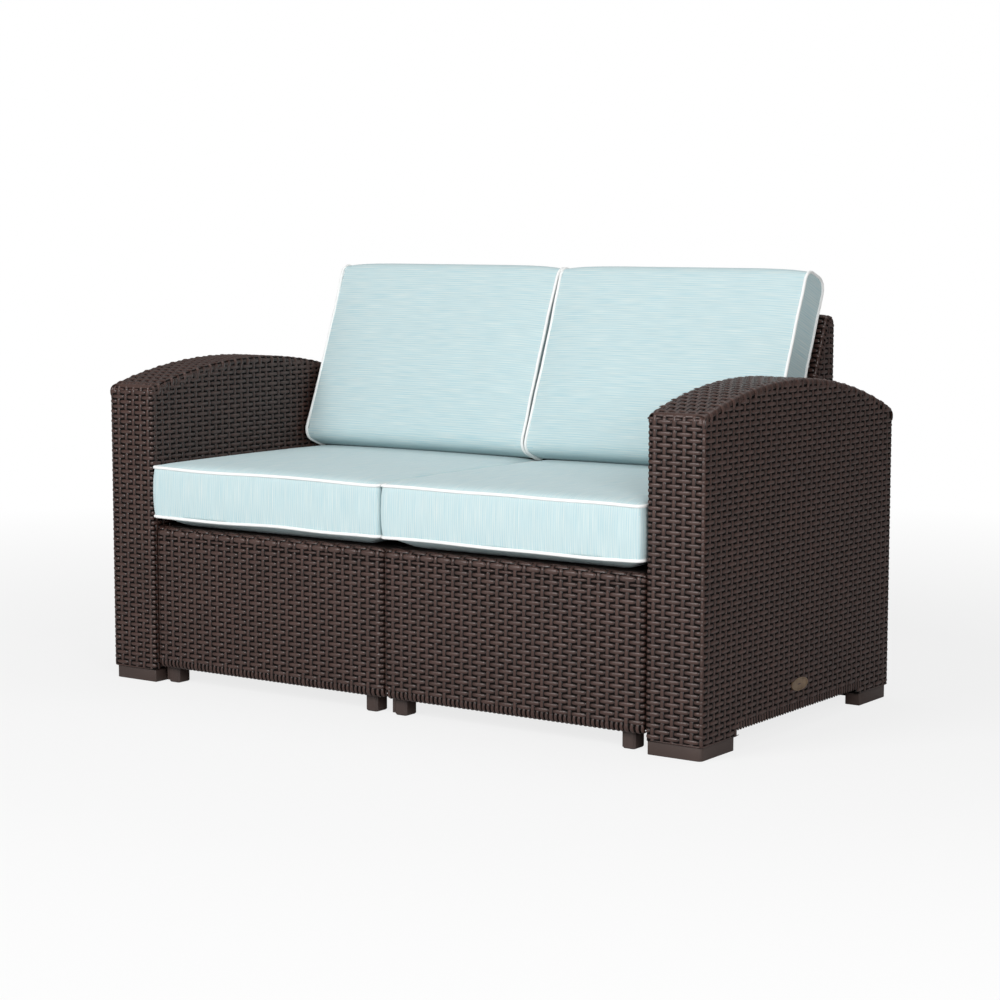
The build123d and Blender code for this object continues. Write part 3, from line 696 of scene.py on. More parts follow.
def armWall():
    ring, columns, lengths = armColumns()
    row = weave["row"]
    lastRow = int((arm["archTop"] - arm["rowZero"]) / row) + 1
    frontTop, rearTop = armTopProfile()[1:]

    def along(flat):
        return np.interp(flat / weave["pitch"], columns, lengths)

    pieces = []
    spans = (("shell", 1, 4), ("panelFront", 0, 1), ("panelRear", 4, 5))
    for number, (part, first, last) in enumerate(spans):
        mesh = weaveSheet(columns[first], columns[last], 0, lastRow)
        centres = strandCentres(mesh)[0]
        y = onProfile(ring, along(centres[:, 0]))[1]
        z = centres[:, 1] + arm["rowZero"]
        onFace = (y < arm["front"] + 2) | (y > arm["back"] - 2)
        faceLimit = np.where(y < 0, frontTop + 3, rearTop)
        doomed = z > np.where(onFace, faceLimit, archHeight(y) - 7)
        doomed |= apronDepth(y) & (z < arm["apron"] + 12)
        if part != "shell":
            doomed |= (z < arm["hiddenBelow"]) & (y > arm["front"] + 40)
        dropVerts(mesh, doomed)
        cutColumns(mesh, columns[first], columns[last])
        cutMesh(mesh, [((0, arm["bottom"] + 1.5 - arm["rowZero"], 0), (0, -1, 0))])
        markStrands(mesh, 31 + number)
        moveCoords(mesh, coordsOf(mesh) + np.array([0, arm["rowZero"], 0]))
        layOn(mesh, ring, (0, 1, 2), across=1, along=along)
        pieces.append((part, mesh))
    return pieces


def armApronRibs():
    # short ribs under the last row of the arm's side, and the bead over each pad
    ring, columns, lengths = armColumns()
    pitch = weave["pitch"]
    places, widths = [], []
    for half in range(2 * arm["sideColumns"] + 1):
        column = half / 2
        if apronDepth(sideColumnY(column)):
            wide = half % 4 == 2
            places.append(column * pitch)
            widths.append(weave["strandWidth"] if wide else 6.0)
    ribs = ribRow(places, widths, arm["apron"] - 1.5, arm["apron"] + 14.5)
    markStrands(ribs, 41)

    def along(flat):
        return np.interp(flat / pitch, columns, lengths)

    layOn(ribs, ring, (0, 1, 2), across=1, along=along)
    bm = bmesh.new()
    padColumns = arm["padLength"] / (arm["back"] - arm["front"]) * arm["sideColumns"]
    for first, last in ((columns[1], padColumns), (arm["sideColumns"] - padColumns, columns[4])):
        middle = (first + last) / 2 * pitch
        place = (middle, arm["bottom"] + 1.6)
        strandPatch(bm, place, ((last - first) * pitch - 6, 3.4), True, (60, 4), 1.9, 1.8, 1.6)
    bead = meshOf(bm, "bead")
    markStrands(bead, 42)
    layOn(bead, ring, (0, 1, 2), across=1, along=along)
    return joined([ribs, bead])


def armTopBand():
    # the arch: bricks run along it, and the strands across it come up from the outer side
    profile = armTopProfile()[0]
    last = arm["sideColumns"]
    lengths = profile["length"]
    y = profile["points"][:, 0]
    arch = (y > arm["front"] + arm["frontRounding"]) & (y < arm["back"] - arm["rearRounding"])
    columnsAt = np.arange(1, last - 1)
    placesAt = np.interp(sideColumnY(columnsAt), y[arch], lengths[arch])
    # carried on evenly past both ends
    columnsAt = np.concatenate([[columnsAt[0] - 4], columnsAt, [columnsAt[-1] + 4]])
    before = 5 * placesAt[0] - 4 * placesAt[1]
    after = 5 * placesAt[-1] - 4 * placesAt[-2]
    placesAt = np.concatenate([[before], placesAt, [after]])
    rows = arm["topRows"] - 1
    mesh = weaveSheet(0, last, 0, rows, arm["topBrickRise"], arm["topStubRise"])
    cutColumns(mesh, 0.62, last - 0.8)
    markStrands(mesh, 6)
    coords = coordsOf(mesh)
    coords[:, 1] = arm["topRowZero"] + rows * weave["row"] + 1.0 - coords[:, 1]
    moveCoords(mesh, coords)

    def along(flat):
        return np.interp(flat / weave["pitch"], columnsAt, placesAt)

    return layOn(mesh, profile, (1, 2, 0), across=1, along=along)


def armEdgeRolls():
    # over the front and rear edges: a thin row, a roll and the upright strands that turn over it
    profile, frontTop, rearTop = armTopProfile()
    total = profile["length"][-1]
    quarterFront = frontTop - arm["bottom"]
    pieces = []
    width = arm["outer"] - arm["inner"]
    uprights = [arm["outer"] - 2.2 - place * weave["pitch"] for place in range(6)]
    for start, way in ((quarterFront, 1), (total - (rearTop - arm["bottom"]), -1)):
        bm = bmesh.new()
        for number, x in enumerate(uprights):
            if number % 2:
                place = (x, start + way * 5.6)
                strandPatch(bm, place, (29, 4.6), True, (8, 4), 2.3, 2.0, 1.4)
        middle = (arm["inner"] + arm["outer"]) / 2
        rounding = arm["frontRounding"] if way == 1 else arm["rearRounding"]
        place = (middle, start + way * rounding)
        strandPatch(bm, place, (width - 9, rounding * 0.85), True, (60, 8), 3.2, 1.5, 2.2)
        for x in uprights[1:]:
            strandPatch(bm, (x, start + way * rounding), (19, 6.2), False, (8, 4), 4.0, 1.6, 1.8)
        for x in uprights:
            strandPatch(bm, (x, start + way * 2), (20, weave["strandWidth"]), False, (6, 4), 1.9, 0.3, 1.6)
        mesh = meshOf(bm, "roll")
        markStrands(mesh, 51)
        layOn(mesh, profile, (1, 2, 0), across=0)
        pieces.append(mesh)
    return joined(pieces)


def rimRibs(inner):
    # ribs that come up the side, turn over the arch's rim and end on top, long and short in turn
    edge = arm["inner"] if inner else arm["outer"]
    way = -1 if inner else 1
    rim = arm["rim"]
    quarter = rim * math.pi / 2
    bm = bmesh.new()
    down = 15.0
    for column in range(arm["sideColumns"]):
        onTop = 3.0 if inner else (6.0 if column % 2 else 15.0)
        length = down + quarter + onTop
        place = (max(column, 0.25) * weave["pitch"], length / 2 - down)
        strandPatch(bm, place, (length, weave["rimWidth"]), False, (12, 4), 2.6 + column % 2, 1.4, 1.7)
        roll = quarter + 7
        place = ((column + 0.5) * weave["pitch"], quarter / 2 + 1)
        strandPatch(bm, place, (roll, weave["pitch"] - 2), False, (10, 4), 1.5, 1.0, 0.7)
    mesh = meshOf(bm, "rim")
    markStrands(mesh, 8)
    coords = coordsOf(mesh)
    y = sideColumnY(coords[:, 0] / weave["pitch"])
    over = coords[:, 1]
    lift = coords[:, 2] - 1.2 * np.clip(-over / 6, 0, 1)
    bend = np.clip(over / rim, 0, math.pi / 2)
    past = np.clip(over - quarter, 0, None)
    below = np.clip(-over, 0, None)
    x = edge - way * rim + way * (rim + lift) * np.cos(bend) - way * past
    z = archHeight(y) - rim + (rim + lift) * np.sin(bend) - below
    moveCoords(mesh, np.stack([x, y, z], 1))
    if inner:
        mesh.flip_normals()
    return mesh


fan = {"firstTurn": 18, "step": 27, "reaches": (15, 19, 15), "spread": 100, "inset": 3.0}


def cornerRibs():
    # ribs that fan round the outer front and rear ends of the rim
    pieces = []
    frontTop, rearTop = armTopProfile()[1:]
    firstTurn, step = math.radians(fan["firstTurn"]), math.radians(fan["step"])
    for y, height, ways in ((arm["front"], frontTop, 1), (arm["back"], rearTop, -1)):
        rounding = arm["frontRounding"] if ways == 1 else arm["rearRounding"]
        bm = bmesh.new()
        for number, reach in enumerate(fan["reaches"]):
            size = (reach + 9, weave["rimWidth"] - 1)
            place = ((firstTurn + number * step) * fan["spread"], (reach + 1) / 2)
            strandPatch(bm, place, size, False, (12, 4), 2.4, 1.4, 1.4)
        mesh = meshOf(bm, "fan")
        markStrands(mesh, 9)
        coords = coordsOf(mesh)
        # each rib's own turn round the corner, and the way across it
        turn = np.round((coords[:, 0] / fan["spread"] - firstTurn) / step) * step + firstTurn
        side = coords[:, 0] - turn * fan["spread"]
        over = coords[:, 1]
        lift = coords[:, 2]
        mostBend = math.pi / 2 - 0.25
        bend = np.clip(over / rounding, 0, mostBend)
        past = np.clip(over - rounding * mostBend, 0, None)
        out = (rounding + lift) * np.cos(bend) - past
        up = (rounding + lift) * np.sin(bend) - np.clip(-over, 0, None)
        outX, outY = np.sin(turn), -ways * np.cos(turn)
        sideX, sideY = np.cos(turn), ways * np.sin(turn)
        narrow = np.clip(1 - np.clip(over, 0, None) / 44, 0.55, 1)
        inset = fan["inset"]
        x = arm["outer"] - rounding + inset + outX * (out - inset) + sideX * side * narrow
        yAt = y + ways * (rounding - inset) + outY * (out - inset) + sideY * side * narrow
        moveCoords(mesh, np.stack([x, yAt, height + up], 1))
        pieces.append(mesh)
    return joined(pieces)


foot = {
    "height": 25.0,
    "inset": 1.5,
    "length": 115.0,
    "frontDepth": 40.0,
    "sideDepth": 31.0,
    "rounding": 9.0,
    "edge": 1.6,
}


def armFoot(front):
    # plain L-shaped foot with softly rounded outer corner and edges
    made = foot
    outer, inner = arm["outer"] - made["inset"], arm["inner"] + made["inset"]
    edge = arm["front"] + made["inset"] if front else arm["back"] - made["inset"]
    way = 1 if front else -1
    outline = [
        (inner, edge),
        (outer, edge),
        (outer, edge + way * made["length"]),
        (outer - made["sideDepth"], edge + way * made["length"]),
        (outer - made["sideDepth"], edge + way * made["frontDepth"]),
        (inner, edge + way * made["frontDepth"]),
    ]
    bm = bmesh.new()
    face = bm.faces.new([bm.verts.new((x, y, 0)) for x, y in outline])
    out = bmesh.ops.extrude_face_region(bm, geom=[face])
    tall = grownFrom(out, bmesh.types.BMVert)
    bmesh.ops.translate(bm, verts=tall, vec=(0, 0, made["height"] + 0.3))
    bmesh.ops.recalc_face_normals(bm, faces=bm.faces[:])

    def atCorner(vert):
        return abs(vert.co.x - outer) < 0.1 and abs(vert.co.y - edge) < 0.1

    corner = [side for side in bm.edges if all(atCorner(vert) for vert in side.verts)]
    bevelled(bm, corner, made["rounding"], 5)
    bevelled(bm, sharpEdges(bm), made["edge"], 3)
    return meshOf(bm, "foot")


def buildArm(side, mirrored):
    weaves = [(f"armWeave_{side}_{part}", mesh) for part, mesh in armWall()]
    weaves.append((f"armApron_{side}", armApronRibs()))
    weaves.append((f"armTopWeave_{side}", armTopBand()))
    weaves.append((f"armRolls_{side}", armEdgeRolls()))
    weaves.append((f"armRim_{side}", joined([rimRibs(False), rimRibs(True)])))
    weaves.append((f"armCorners_{side}", cornerRibs()))
    for name, mesh in weaves:
        finishPiece(name, toMetres(mesh, mirrored), "frame", shade["woven"])
    for node in (f"arm_{side}_outer_shell", f"arm_{side}_inner_panel"):
        # the shells behind the arm weave get the near-black painted shade
        setNodeMaterial(node, shade["backingPaintedShade"])
    for end in ("front", "rear"):
        mesh = toMetres(armFoot(end == "front"), mirrored)
        node = f"arm_{side}_{end}_foot"
        finishPiece(f"armFoot_{side}_{end}", mesh, "frame", shade["plain"], (node,))


def setNodeMaterial(node, material):
    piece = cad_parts[node]
    piece.data.materials.clear()
    piece.data.materials.append(material)


buildArm("right", False)
buildArm("left", True)
print("arms woven")


# badge

badge = {"length": 63.0, "height": 24.5, "y": -2.0, "z": 84.0, "base": 696.5, "top": 700.6}


def badgeMesh():
    # bare oval plate with a raised rim
    bm = bmesh.new()
    bmesh.ops.create_circle(bm, cap_ends=True, segments=48, radius=0.5)
    face = bm.faces[:]
    bmesh.ops.scale(bm, vec=(badge["length"], badge["height"], 1), verts=bm.verts[:])
    out = bmesh.ops.extrude_face_region(bm, geom=face)
    tall = grownFrom(out, bmesh.types.BMVert)
    top = grownFrom(out, bmesh.types.BMFace)
    bmesh.ops.translate(bm, verts=tall, vec=(0, 0, badge["top"] - badge["base"]))
    bmesh.ops.inset_region(bm, faces=top, thickness=2.4, depth=0)
    bmesh.ops.inset_region(bm, faces=top, thickness=0.5, depth=-0.7)
    bmesh.ops.recalc_face_normals(bm, faces=bm.faces[:])
    bevelled(bm, sharpEdges(bm), 0.35, 2)
    place = Matrix(((0, 0, 1, badge["base"]), (1, 0, 0, badge["y"]), (0, 1, 0, badge["z"]), (0, 0, 0, 1)))
    bmesh.ops.transform(bm, matrix=place, verts=bm.verts[:])
    return meshOf(bm, "badge")


def badgeMaterial():
    material, tree, shader = newMaterial("agedBronze")
    grain = groupNode(tree, shade["mouldGrain"], Grain_Scale=600.0, Tone_Scale=90.0)
    colour = mixColour(tree, grain.outputs["Tone"], (0.16, 0.10, 0.06, 1), (0.42, 0.31, 0.21, 1))
    tree.links.new(colour, shader.inputs["Base Color"])
    shader.inputs["Metallic"].default_value = 0.85
    shader.inputs["Roughness"].default_value = 0.38
    tree.links.new(bumpNode(tree, grain.outputs["Grain"], 0.5, 0.0008), shader.inputs["Normal"])
    return material


plate = toMetres(badgeMesh())
finishPiece("badgePlate", plate, "frame", badgeMaterial(), ("arm_right_badge",))
print("badge set")


# seat modules

module = {
    "left": {"low": -578.0, "high": -2.0},
    "right": {"low": 2.0, "high": 578.0},
    "front": -355.0,
    "rear": 348.5,
    "bottom": 35.0,
    "top": 318.0,
    "rounding": 9.0,
    "depth": 14.0,
    "columns": (-2, -1, 0, 26, 27, 29),
    "columnPlaces": (-19.5, 0.4, 20.3, 539.6, 563.5, 603.5),
    "lastColumn": 28,
    "rowZero": 44.1,
    "lastRow": 28,
    "curlRow": 26,
    "rowStretch": 1.008,
}


def skirtProfile(rear):
    # under, up the face and over the top, as y and z
    face = module["rear"] if rear else module["front"]
    inside = face - module["depth"] if rear else face + module["depth"]
    bottom, top = module["bottom"], module["top"]
    corners = [(inside, bottom), (face, bottom), (face, top), (inside, top)]
    return roundedProfile(corners, [module["rounding"]] * 2, facing=-1 if rear else 1)


def stretchRows(sheet):
    # the top row's bricks are tall and humped, those of the row under it thin
    pitch, row = weave["pitch"], weave["row"]
    coords = coordsOf(sheet)
    centres = strandCentres(sheet)[0]
    rows = np.round((centres[:, 1] - module["rowZero"]) / row)
    bricks = (rows + np.round(centres[:, 0] / pitch)) % 2 == 0
    fromRow = coords[:, 1] - module["rowZero"] - rows * row
    tall = bricks & (rows == module["curlRow"])
    thin = bricks & (rows == module["curlRow"] - 1)
    coords[:, 1] += np.where(tall, 0.38 * fromRow, np.where(thin, -0.3 * fromRow, 0))
    coords[:, 2] *= np.where(tall, 1.25, 1)
    coords[:, 1] = module["rowZero"] + (coords[:, 1] - module["rowZero"]) * module["rowStretch"]
    moveCoords(sheet, coords)


def skirtWeave(side, rear):
    low, high = module[side]["low"], module[side]["high"]
    profile = skirtProfile(rear)
    pitch = weave["pitch"]
    offset = module["depth"] - (2 - math.pi / 2) * module["rounding"] - module["bottom"]
    sheet = weaveSheet(-1, module["lastColumn"], 1, module["lastRow"])
    moveCoords(sheet, coordsOf(sheet) + np.array([0, module["rowZero"], 0]))
    stretchRows(sheet)
    places, widths = [], []
    for half in range(-2, 2 * module["lastColumn"] + 1):
        places.append(half / 2 * pitch)
        widths.append(weave["strandWidth"] if half % 4 == 0 else 6.4)
    ribs = ribRow(places, widths, module["bottom"] - 12, module["rowZero"] + 7)
    mesh = joined([sheet, ribs])
    cutColumns(mesh, -1.7, module["lastColumn"] + 0.4)
    markStrands(mesh, 4)
    coords = coordsOf(mesh)
    coords[:, 0] = np.interp(coords[:, 0] / pitch, module["columns"], module["columnPlaces"])
    coords[:, 0] = high - coords[:, 0] if rear else low + coords[:, 0]
    moveCoords(mesh, coords)

    def along(flat):
        return flat + offset

    layOn(mesh, profile, (1, 2, 0), across=0, low=low, high=high, corner=module["rounding"], along=along)
    return toMetres(mesh)


def buildModules():
    for side in ("left", "right"):
        for rear in (False, True):
            end = "rear" if rear else "front"
            name = f"skirtWeave_{side}_{end}"
            finishPiece(name, skirtWeave(side, rear), "frame", shade["woven"])
            # the skirt's shell behind the weave gets the near-black painted shade
            setNodeMaterial(f"seat_{side}_{end}_skirt", shade["backingPaintedShade"])
            setNodeMaterial(f"seat_{side}_{end}_legs", shade["plain"])
        for node in ("left_gable", "right_gable", "deck"):
            setNodeMaterial(f"seat_{side}_{node}", shade["inner"])


buildModules()
print("modules woven")


# wedge backs

back = {
    "base": 199.0,
    "break": 440.0,
    "top": 750.5,
    "rear": 348.5,
    "bottom": 318.0,
    "recline": math.radians(21),
    "frontRounding": 8.0,
    "rearRounding": 20.0,
    "corner": 4.0,
    "wrap": 8.5,
    "columns": 29,
}


def backProfile():
    # up the front, over the top and down the rear, as y and z
    made = back
    topFront = made["base"] + (made["top"] - made["break"]) * math.tan(made["recline"])
    corners = [
        (made["base"], made["bottom"]),
        (made["base"], made["break"]),
        (topFront, made["top"]),
        (made["rear"], made["top"]),
        (made["rear"], made["bottom"]),
    ]
    return roundedProfile(corners, [6.0, made["frontRounding"], made["rearRounding"]])


def backWeave(side):
    low, high = module[side]["low"], module[side]["high"]
    profile = backProfile()
    rows = round(profile["length"][-1] / weave["row"])
    pitch = weave["pitch"]
    mesh = weaveSheet(-1, back["columns"] + 1, 1, rows - 1)
    quarter = back["corner"] * math.pi / 4
    flat = high - low - 2 * back["corner"] + 2 * quarter
    reach = (back["corner"] * math.pi / 4 + back["wrap"]) / pitch
    cutColumns(mesh, -reach, back["columns"] + reach)
    markStrands(mesh, 71)
    coords = coordsOf(mesh)
    coords[:, 0] = low + back["corner"] - quarter + coords[:, 0] / (back["columns"] * pitch) * flat
    moveCoords(mesh, coords)
    stretch = profile["length"][-1] / (rows * weave["row"])

    def along(flatAlong):
        return flatAlong * stretch

    layOn(mesh, profile, (1, 2, 0), across=0, low=low, high=high, corner=back["corner"], along=along)
    return mesh


def backEndWeave(side, end):
    # the end faces between the strands that wrap round from the front and the rear
    x = module[side]["low"] if end < 0 else module[side]["high"]
    made = back
    row = weave["row"]
    rows = int((made["top"] - made["bottom"]) / row)
    mesh = weaveSheet(0, 8, 1, rows)
    markStrands(mesh, 72)
    wrap = made["wrap"] + 1.0
    lean = made["recline"]
    front = made["base"] + wrap / math.cos(lean)
    # flat sheet: x counts from the rear, y is the height
    cuts = [
        ((wrap, 0, 0), (-1, 0, 0)),
        ((0, made["top"] - made["bottom"] - wrap, 0), (0, 1, 0)),
        ((made["rear"] - front, made["break"] - made["bottom"], 0), (math.cos(lean), math.sin(lean), 0)),
        ((made["rear"] - made["base"] - wrap, 0, 0), (1, 0, 0)),
    ]
    cutMesh(mesh, cuts)
    coords = coordsOf(mesh)
    y, z = made["rear"] - coords[:, 0], made["bottom"] + coords[:, 1]
    moveCoords(mesh, np.stack([x + end * coords[:, 2], y, z], 1))
    if end > 0:
        mesh.flip_normals()
    return mesh


def buildBacks():
    for side in ("left", "right"):
        weaves = toMetres(backWeave(side))
        finishPiece(f"backWeave_{side}", weaves, "frame", shade["woven"])
        ends = joined([backEndWeave(side, -1), backEndWeave(side, 1)])
        finishPiece(f"backEnds_{side}", toMetres(ends), "frame", shade["woven"])
        # the back's shell and rear cover get the near-black painted shade
        setNodeMaterial(f"back_{side}_shell", shade["backingPaintedShade"])
        setNodeMaterial(f"back_{side}_rear_cover", shade["backingPaintedShade"])


buildBacks()
print("backs woven")


# cushions

lean = math.radians(21)
pad = {
    "voxel": 0.0056,
    "pressure": 4.0,
    "frames": 20,
    "piping": 3.2,
    "seatMiddle": {"left": -291.8, "right": 288.2},
    "backMiddle": {"left": -285.6, "right": 288.6},
}
seatPad = {
    "halfWidth": 286.8,
    "front": -366.2,
    "rear": 191.0,
    "corner": 12.0,
    "drawIn": 2.0,
    "bulge": 3.0,
    "under": 319.2,
    "lowest": 318.5,
    "lowerSeam": 343.0,
    "upperSeam": 441.0,
    "crown": 454.5,
    "domeRadius": 15000.0,
    "cap": 6.0,
}
backPad = {
    "halfWidth": 283.4,
    "thick": 76.0,
    "tall": 398.0,
    "topCrown": 7.0,
    "cornerY": 104.4,
    "cornerZ": 472.4,
    "radii": {"frontLow": 24.0, "frontTop": 22.0, "rearTop": 26.0, "rearLow": 16.0},
    "waist": 2.6,
    "frontCrown": 19.0,
    "rearCrown": 15.0,
    "cap": 9.0,
}


def remeshed(bm, name):
    mesh = meshOf(bm, name)
    mesh.transform(Matrix.Scale(mm, 4))
    piece = sceneObject(name, mesh)
    remesh = piece.modifiers.new("remesh", "REMESH")
    remesh.mode = "VOXEL"
    remesh.voxel_size = pad["voxel"]
    mesh = bakedMesh(piece)
    mesh.transform(Matrix.Scale(1 / mm, 4))
    return mesh


def nearestOn(path, coords, reach):
    # index of the nearest path point for each vertex within reach of the path, or -1
    found = np.full(len(coords), -1)
    low, high = path.min(axis=0) - reach, path.max(axis=0) + reach
    near = np.flatnonzero(((coords > low) & (coords < high)).all(axis=1))
    for chunk in np.array_split(near, max(1, len(near) // 1500)):
        gaps = np.linalg.norm(coords[chunk][:, None, :] - path[None, :, :], axis=2)
        best = gaps.argmin(axis=1)
        close = gaps[np.arange(len(chunk)), best] < reach
        found[chunk[close]] = best[close]
    return found


def snapSeams(coords, seams, reach):
    # draws the vertices beside each seam onto it, and names them
    held = np.zeros(len(coords), bool)
    for path in seams:
        best = nearestOn(path, coords, reach)
        near = best >= 0
        coords[near] = path[best[near]]
        held |= near
    return held


def inflated(mesh, held, cap):
    # the cloth swells between its seams, and the seams stay
    start = coordsOf(mesh)
    mesh.transform(Matrix.Scale(mm, 4))
    piece = sceneObject("pad", mesh)
    group = piece.vertex_groups.new(name="seam")
    group.add([int(i) for i in np.flatnonzero(held)], 1.0, "REPLACE")
    cloth = piece.modifiers.new("cloth", "CLOTH")
    made = cloth.settings
    made.quality = 4
    made.mass = 0.25
    made.tension_stiffness = 12
    made.compression_stiffness = 12
    made.shear_stiffness = 6
    made.bending_stiffness = 0.4
    made.use_pressure = True
    made.uniform_pressure_force = pad["pressure"]
    made.shrink_min = -0.012
    made.vertex_group_mass = "seam"
    made.effector_weights.gravity = 0
    cloth.collision_settings.use_collision = False
    cloth.point_cache.frame_start = 1
    cloth.point_cache.frame_end = pad["frames"]
    scene = bpy.context.scene
    for step in range(1, pad["frames"] + 1):
        scene.frame_set(step)
    mesh = bakedMesh(piece)
    scene.frame_set(1)
    mesh.transform(Matrix.Scale(1 / mm, 4))
    moved = coordsOf(mesh) - start
    far = np.linalg.norm(moved, axis=1)
    moved *= (np.tanh(far / cap) * cap / np.maximum(far, 1e-6))[:, None]
    moveCoords(mesh, start + moved)
    return mesh


def wander(count, seed, size):
    # slow uneven drift of a seam, closed on itself
    turn = np.linspace(0, 2 * math.pi, count, endpoint=False)
    draw = np.random.default_rng(seed)
    drift = np.zeros(count)
    for wave in range(3, 12):
        drift += draw.normal() * np.sin(wave * turn + draw.uniform(0, 6.3)) / math.sqrt(wave)
    return drift * size / np.abs(drift).max()


def seatLoop(inset, step=1.5):
    # the seat cushion's outline, with rounded corners and sides drawn in between them
    made = seatPad
    halfWide, halfDeep = made["halfWidth"] - inset, (made["rear"] - made["front"]) / 2 - inset
    radius = made["corner"] - min(inset, made["corner"] - 2)
    corners = [(0, -halfDeep), (halfWide, -halfDeep), (halfWide, halfDeep), (-halfWide, halfDeep)]
    corners += [(-halfWide, -halfDeep), (0, -halfDeep)]
    profile = roundedProfile(corners, [radius] * 4)
    total = profile["length"][-1]
    along = np.arange(0, total, step)
    x, y = onProfile(profile, along)[:2]
    pull = made["drawIn"]
    x = x * (1 - pull / halfWide * np.clip(1 - (y / halfDeep) ** 2, 0, 1))
    y = y * (1 - pull / halfDeep * np.clip(1 - (x / halfWide) ** 2, 0, 1))
    return x, y + (made["rear"] + made["front"]) / 2


def seatSeam(level, seed):
    x, y = seatLoop(0)
    z = np.full(len(x), level) + wander(len(x), seed, 2.0)
    return np.stack([x, y + wander(len(x), seed + 1, 0.8), z], 1)


def seatDome(x, y):
    middle = (seatPad["front"] + seatPad["rear"]) / 2
    return seatPad["crown"] - (x * x + (y - middle) ** 2) / (2 * seatPad["domeRadius"])


def seatCushionMesh(seed):
    made = seatPad
    bm = bmesh.new()
    halfDeep = (made["rear"] - made["front"]) / 2
    middle = (made["rear"] + made["front"]) / 2
    bmesh.ops.create_grid(bm, x_segments=1, y_segments=1, size=1)
    bmesh.ops.scale(bm, vec=(made["halfWidth"], halfDeep, 1), verts=bm.verts[:])
    bmesh.ops.bevel(
        bm, geom=bm.verts[:], offset=made["corner"], segments=6, affect="VERTICES", profile=0.5, material=-1
    )
    bmesh.ops.subdivide_edges(bm, edges=[edge for edge in bm.edges if edge.calc_length() > 100], cuts=12)
    for vert in bm.verts:
        vert.co.x *= 1 - made["drawIn"] / made["halfWidth"] * max(0, 1 - (vert.co.y / halfDeep) ** 2)
        vert.co.y *= 1 - made["drawIn"] / halfDeep * max(0, 1 - (vert.co.x / made["halfWidth"]) ** 2)
    low, high = made["lowerSeam"], made["upperSeam"]
    rings = [(64, made["under"]), (44, made["under"] + 5), (27, low - 10), (14, low - 3), (0, low)]
    for share in (0.12, 0.3, 0.5, 0.7, 0.88):
        rings.append((-made["bulge"] * math.sin(math.pi * share) ** 0.7, low + (high - low) * share))
    rings += [(0, high), (3, high + 5), (9, high + 9), (20, high + 12), (36, made["crown"])]

    def settle(verts, sources, inset, height):
        for vert, source in zip(verts, sources):
            vert.co.x = source.x * (1 - inset / made["halfWidth"])
            vert.co.y = source.y * (1 - inset / halfDeep) + middle
            vert.co.z = height

    base = list(bm.verts)
    sources = [vert.co.copy() for vert in base]
    settle(base, sources, *rings[0])
    top = bm.faces[:]
    for number, (inset, height) in enumerate(rings[1:]):
        grown = bmesh.ops.extrude_face_region(bm, geom=top)
        verts = grownFrom(grown, bmesh.types.BMVert)
        if number:
            bmesh.ops.delete(bm, geom=top, context="FACES_ONLY")
        # each new vertex lies on an old one, and keeps its place in the outline
        matched = []
        for vert in verts:
            near = min(range(len(base)), key=lambda i: (vert.co.xy - base[i].co.xy).length_squared)
            matched.append(sources[near])
        settle(verts, matched, inset, height)
        base, sources, top = verts, matched, grownFrom(grown, bmesh.types.BMFace)
    bmesh.ops.recalc_face_normals(bm, faces=bm.faces[:])
    mesh = remeshed(bm, "seatPad")
    coords = coordsOf(mesh)
    over = coords[:, 2] > made["upperSeam"]
    share = (coords[:, 2] - made["upperSeam"]) / (made["crown"] - made["upperSeam"])
    domed = made["upperSeam"] + share * (seatDome(coords[:, 0], coords[:, 1]) - made["upperSeam"])
    coords[over, 2] = domed[over]
    seams = [seatSeam(made["lowerSeam"], seed), seatSeam(made["upperSeam"], seed + 3)]
    held = snapSeams(coords, seams, pad["voxel"] / mm * 0.62)
    held |= coords[:, 2] < made["under"] + 1.5
    moveCoords(mesh, coords)
    mesh = inflated(mesh, held, made["cap"])
    coords = coordsOf(mesh)
    coords[:, 2] = np.clip(coords[:, 2], made["lowest"], None)
    limit = seatDome(coords[:, 0], coords[:, 1]) + 2.2
    coords[:, 2] = np.minimum(coords[:, 2], limit)
    moveCoords(mesh, coords)
    return mesh, seams


def backLoop(step=1.5):
    made, radii = backPad, backPad["radii"]
    corners = [(made["thick"] / 2, 0), (0, 0), (0, made["tall"]), (made["thick"], made["tall"])]
    corners += [(made["thick"], 0), (made["thick"] / 2, 0)]
    order = ("frontLow", "frontTop", "rearTop", "rearLow")
    profile = roundedProfile(corners, [radii[place] for place in order])
    along = np.arange(0, profile["length"][-1], step)
    return onProfile(profile, along)[:2]


def backSeam(end, seed):
    t, h = backLoop()
    inward = backPad["waist"] * np.sin(math.pi * np.clip(h / backPad["tall"], 0, 1))
    x = end * (backPad["halfWidth"] - inward) + wander(len(t), seed, 0.5)
    t = t + wander(len(t), seed + 1, 0.9)
    return np.stack([x, t, h], 1)


def leaned(coords):
    # from the back cushion's own axes (across, through, up) to the row's, in millimetres
    x, t, h = coords[:, 0], coords[:, 1], coords[:, 2]
    y = backPad["cornerY"] + t * math.cos(lean) + h * math.sin(lean)
    z = backPad["cornerZ"] - t * math.sin(lean) + h * math.cos(lean)
    return np.stack([x, y, z], 1)


def backCrown(x, h):
    across = 1 - np.abs(np.clip(x / backPad["halfWidth"], -1, 1)) ** 5
    up = 1 - (2 * np.clip(h / backPad["tall"], 0, 1) - 1) ** 2
    return across * up ** 0.8


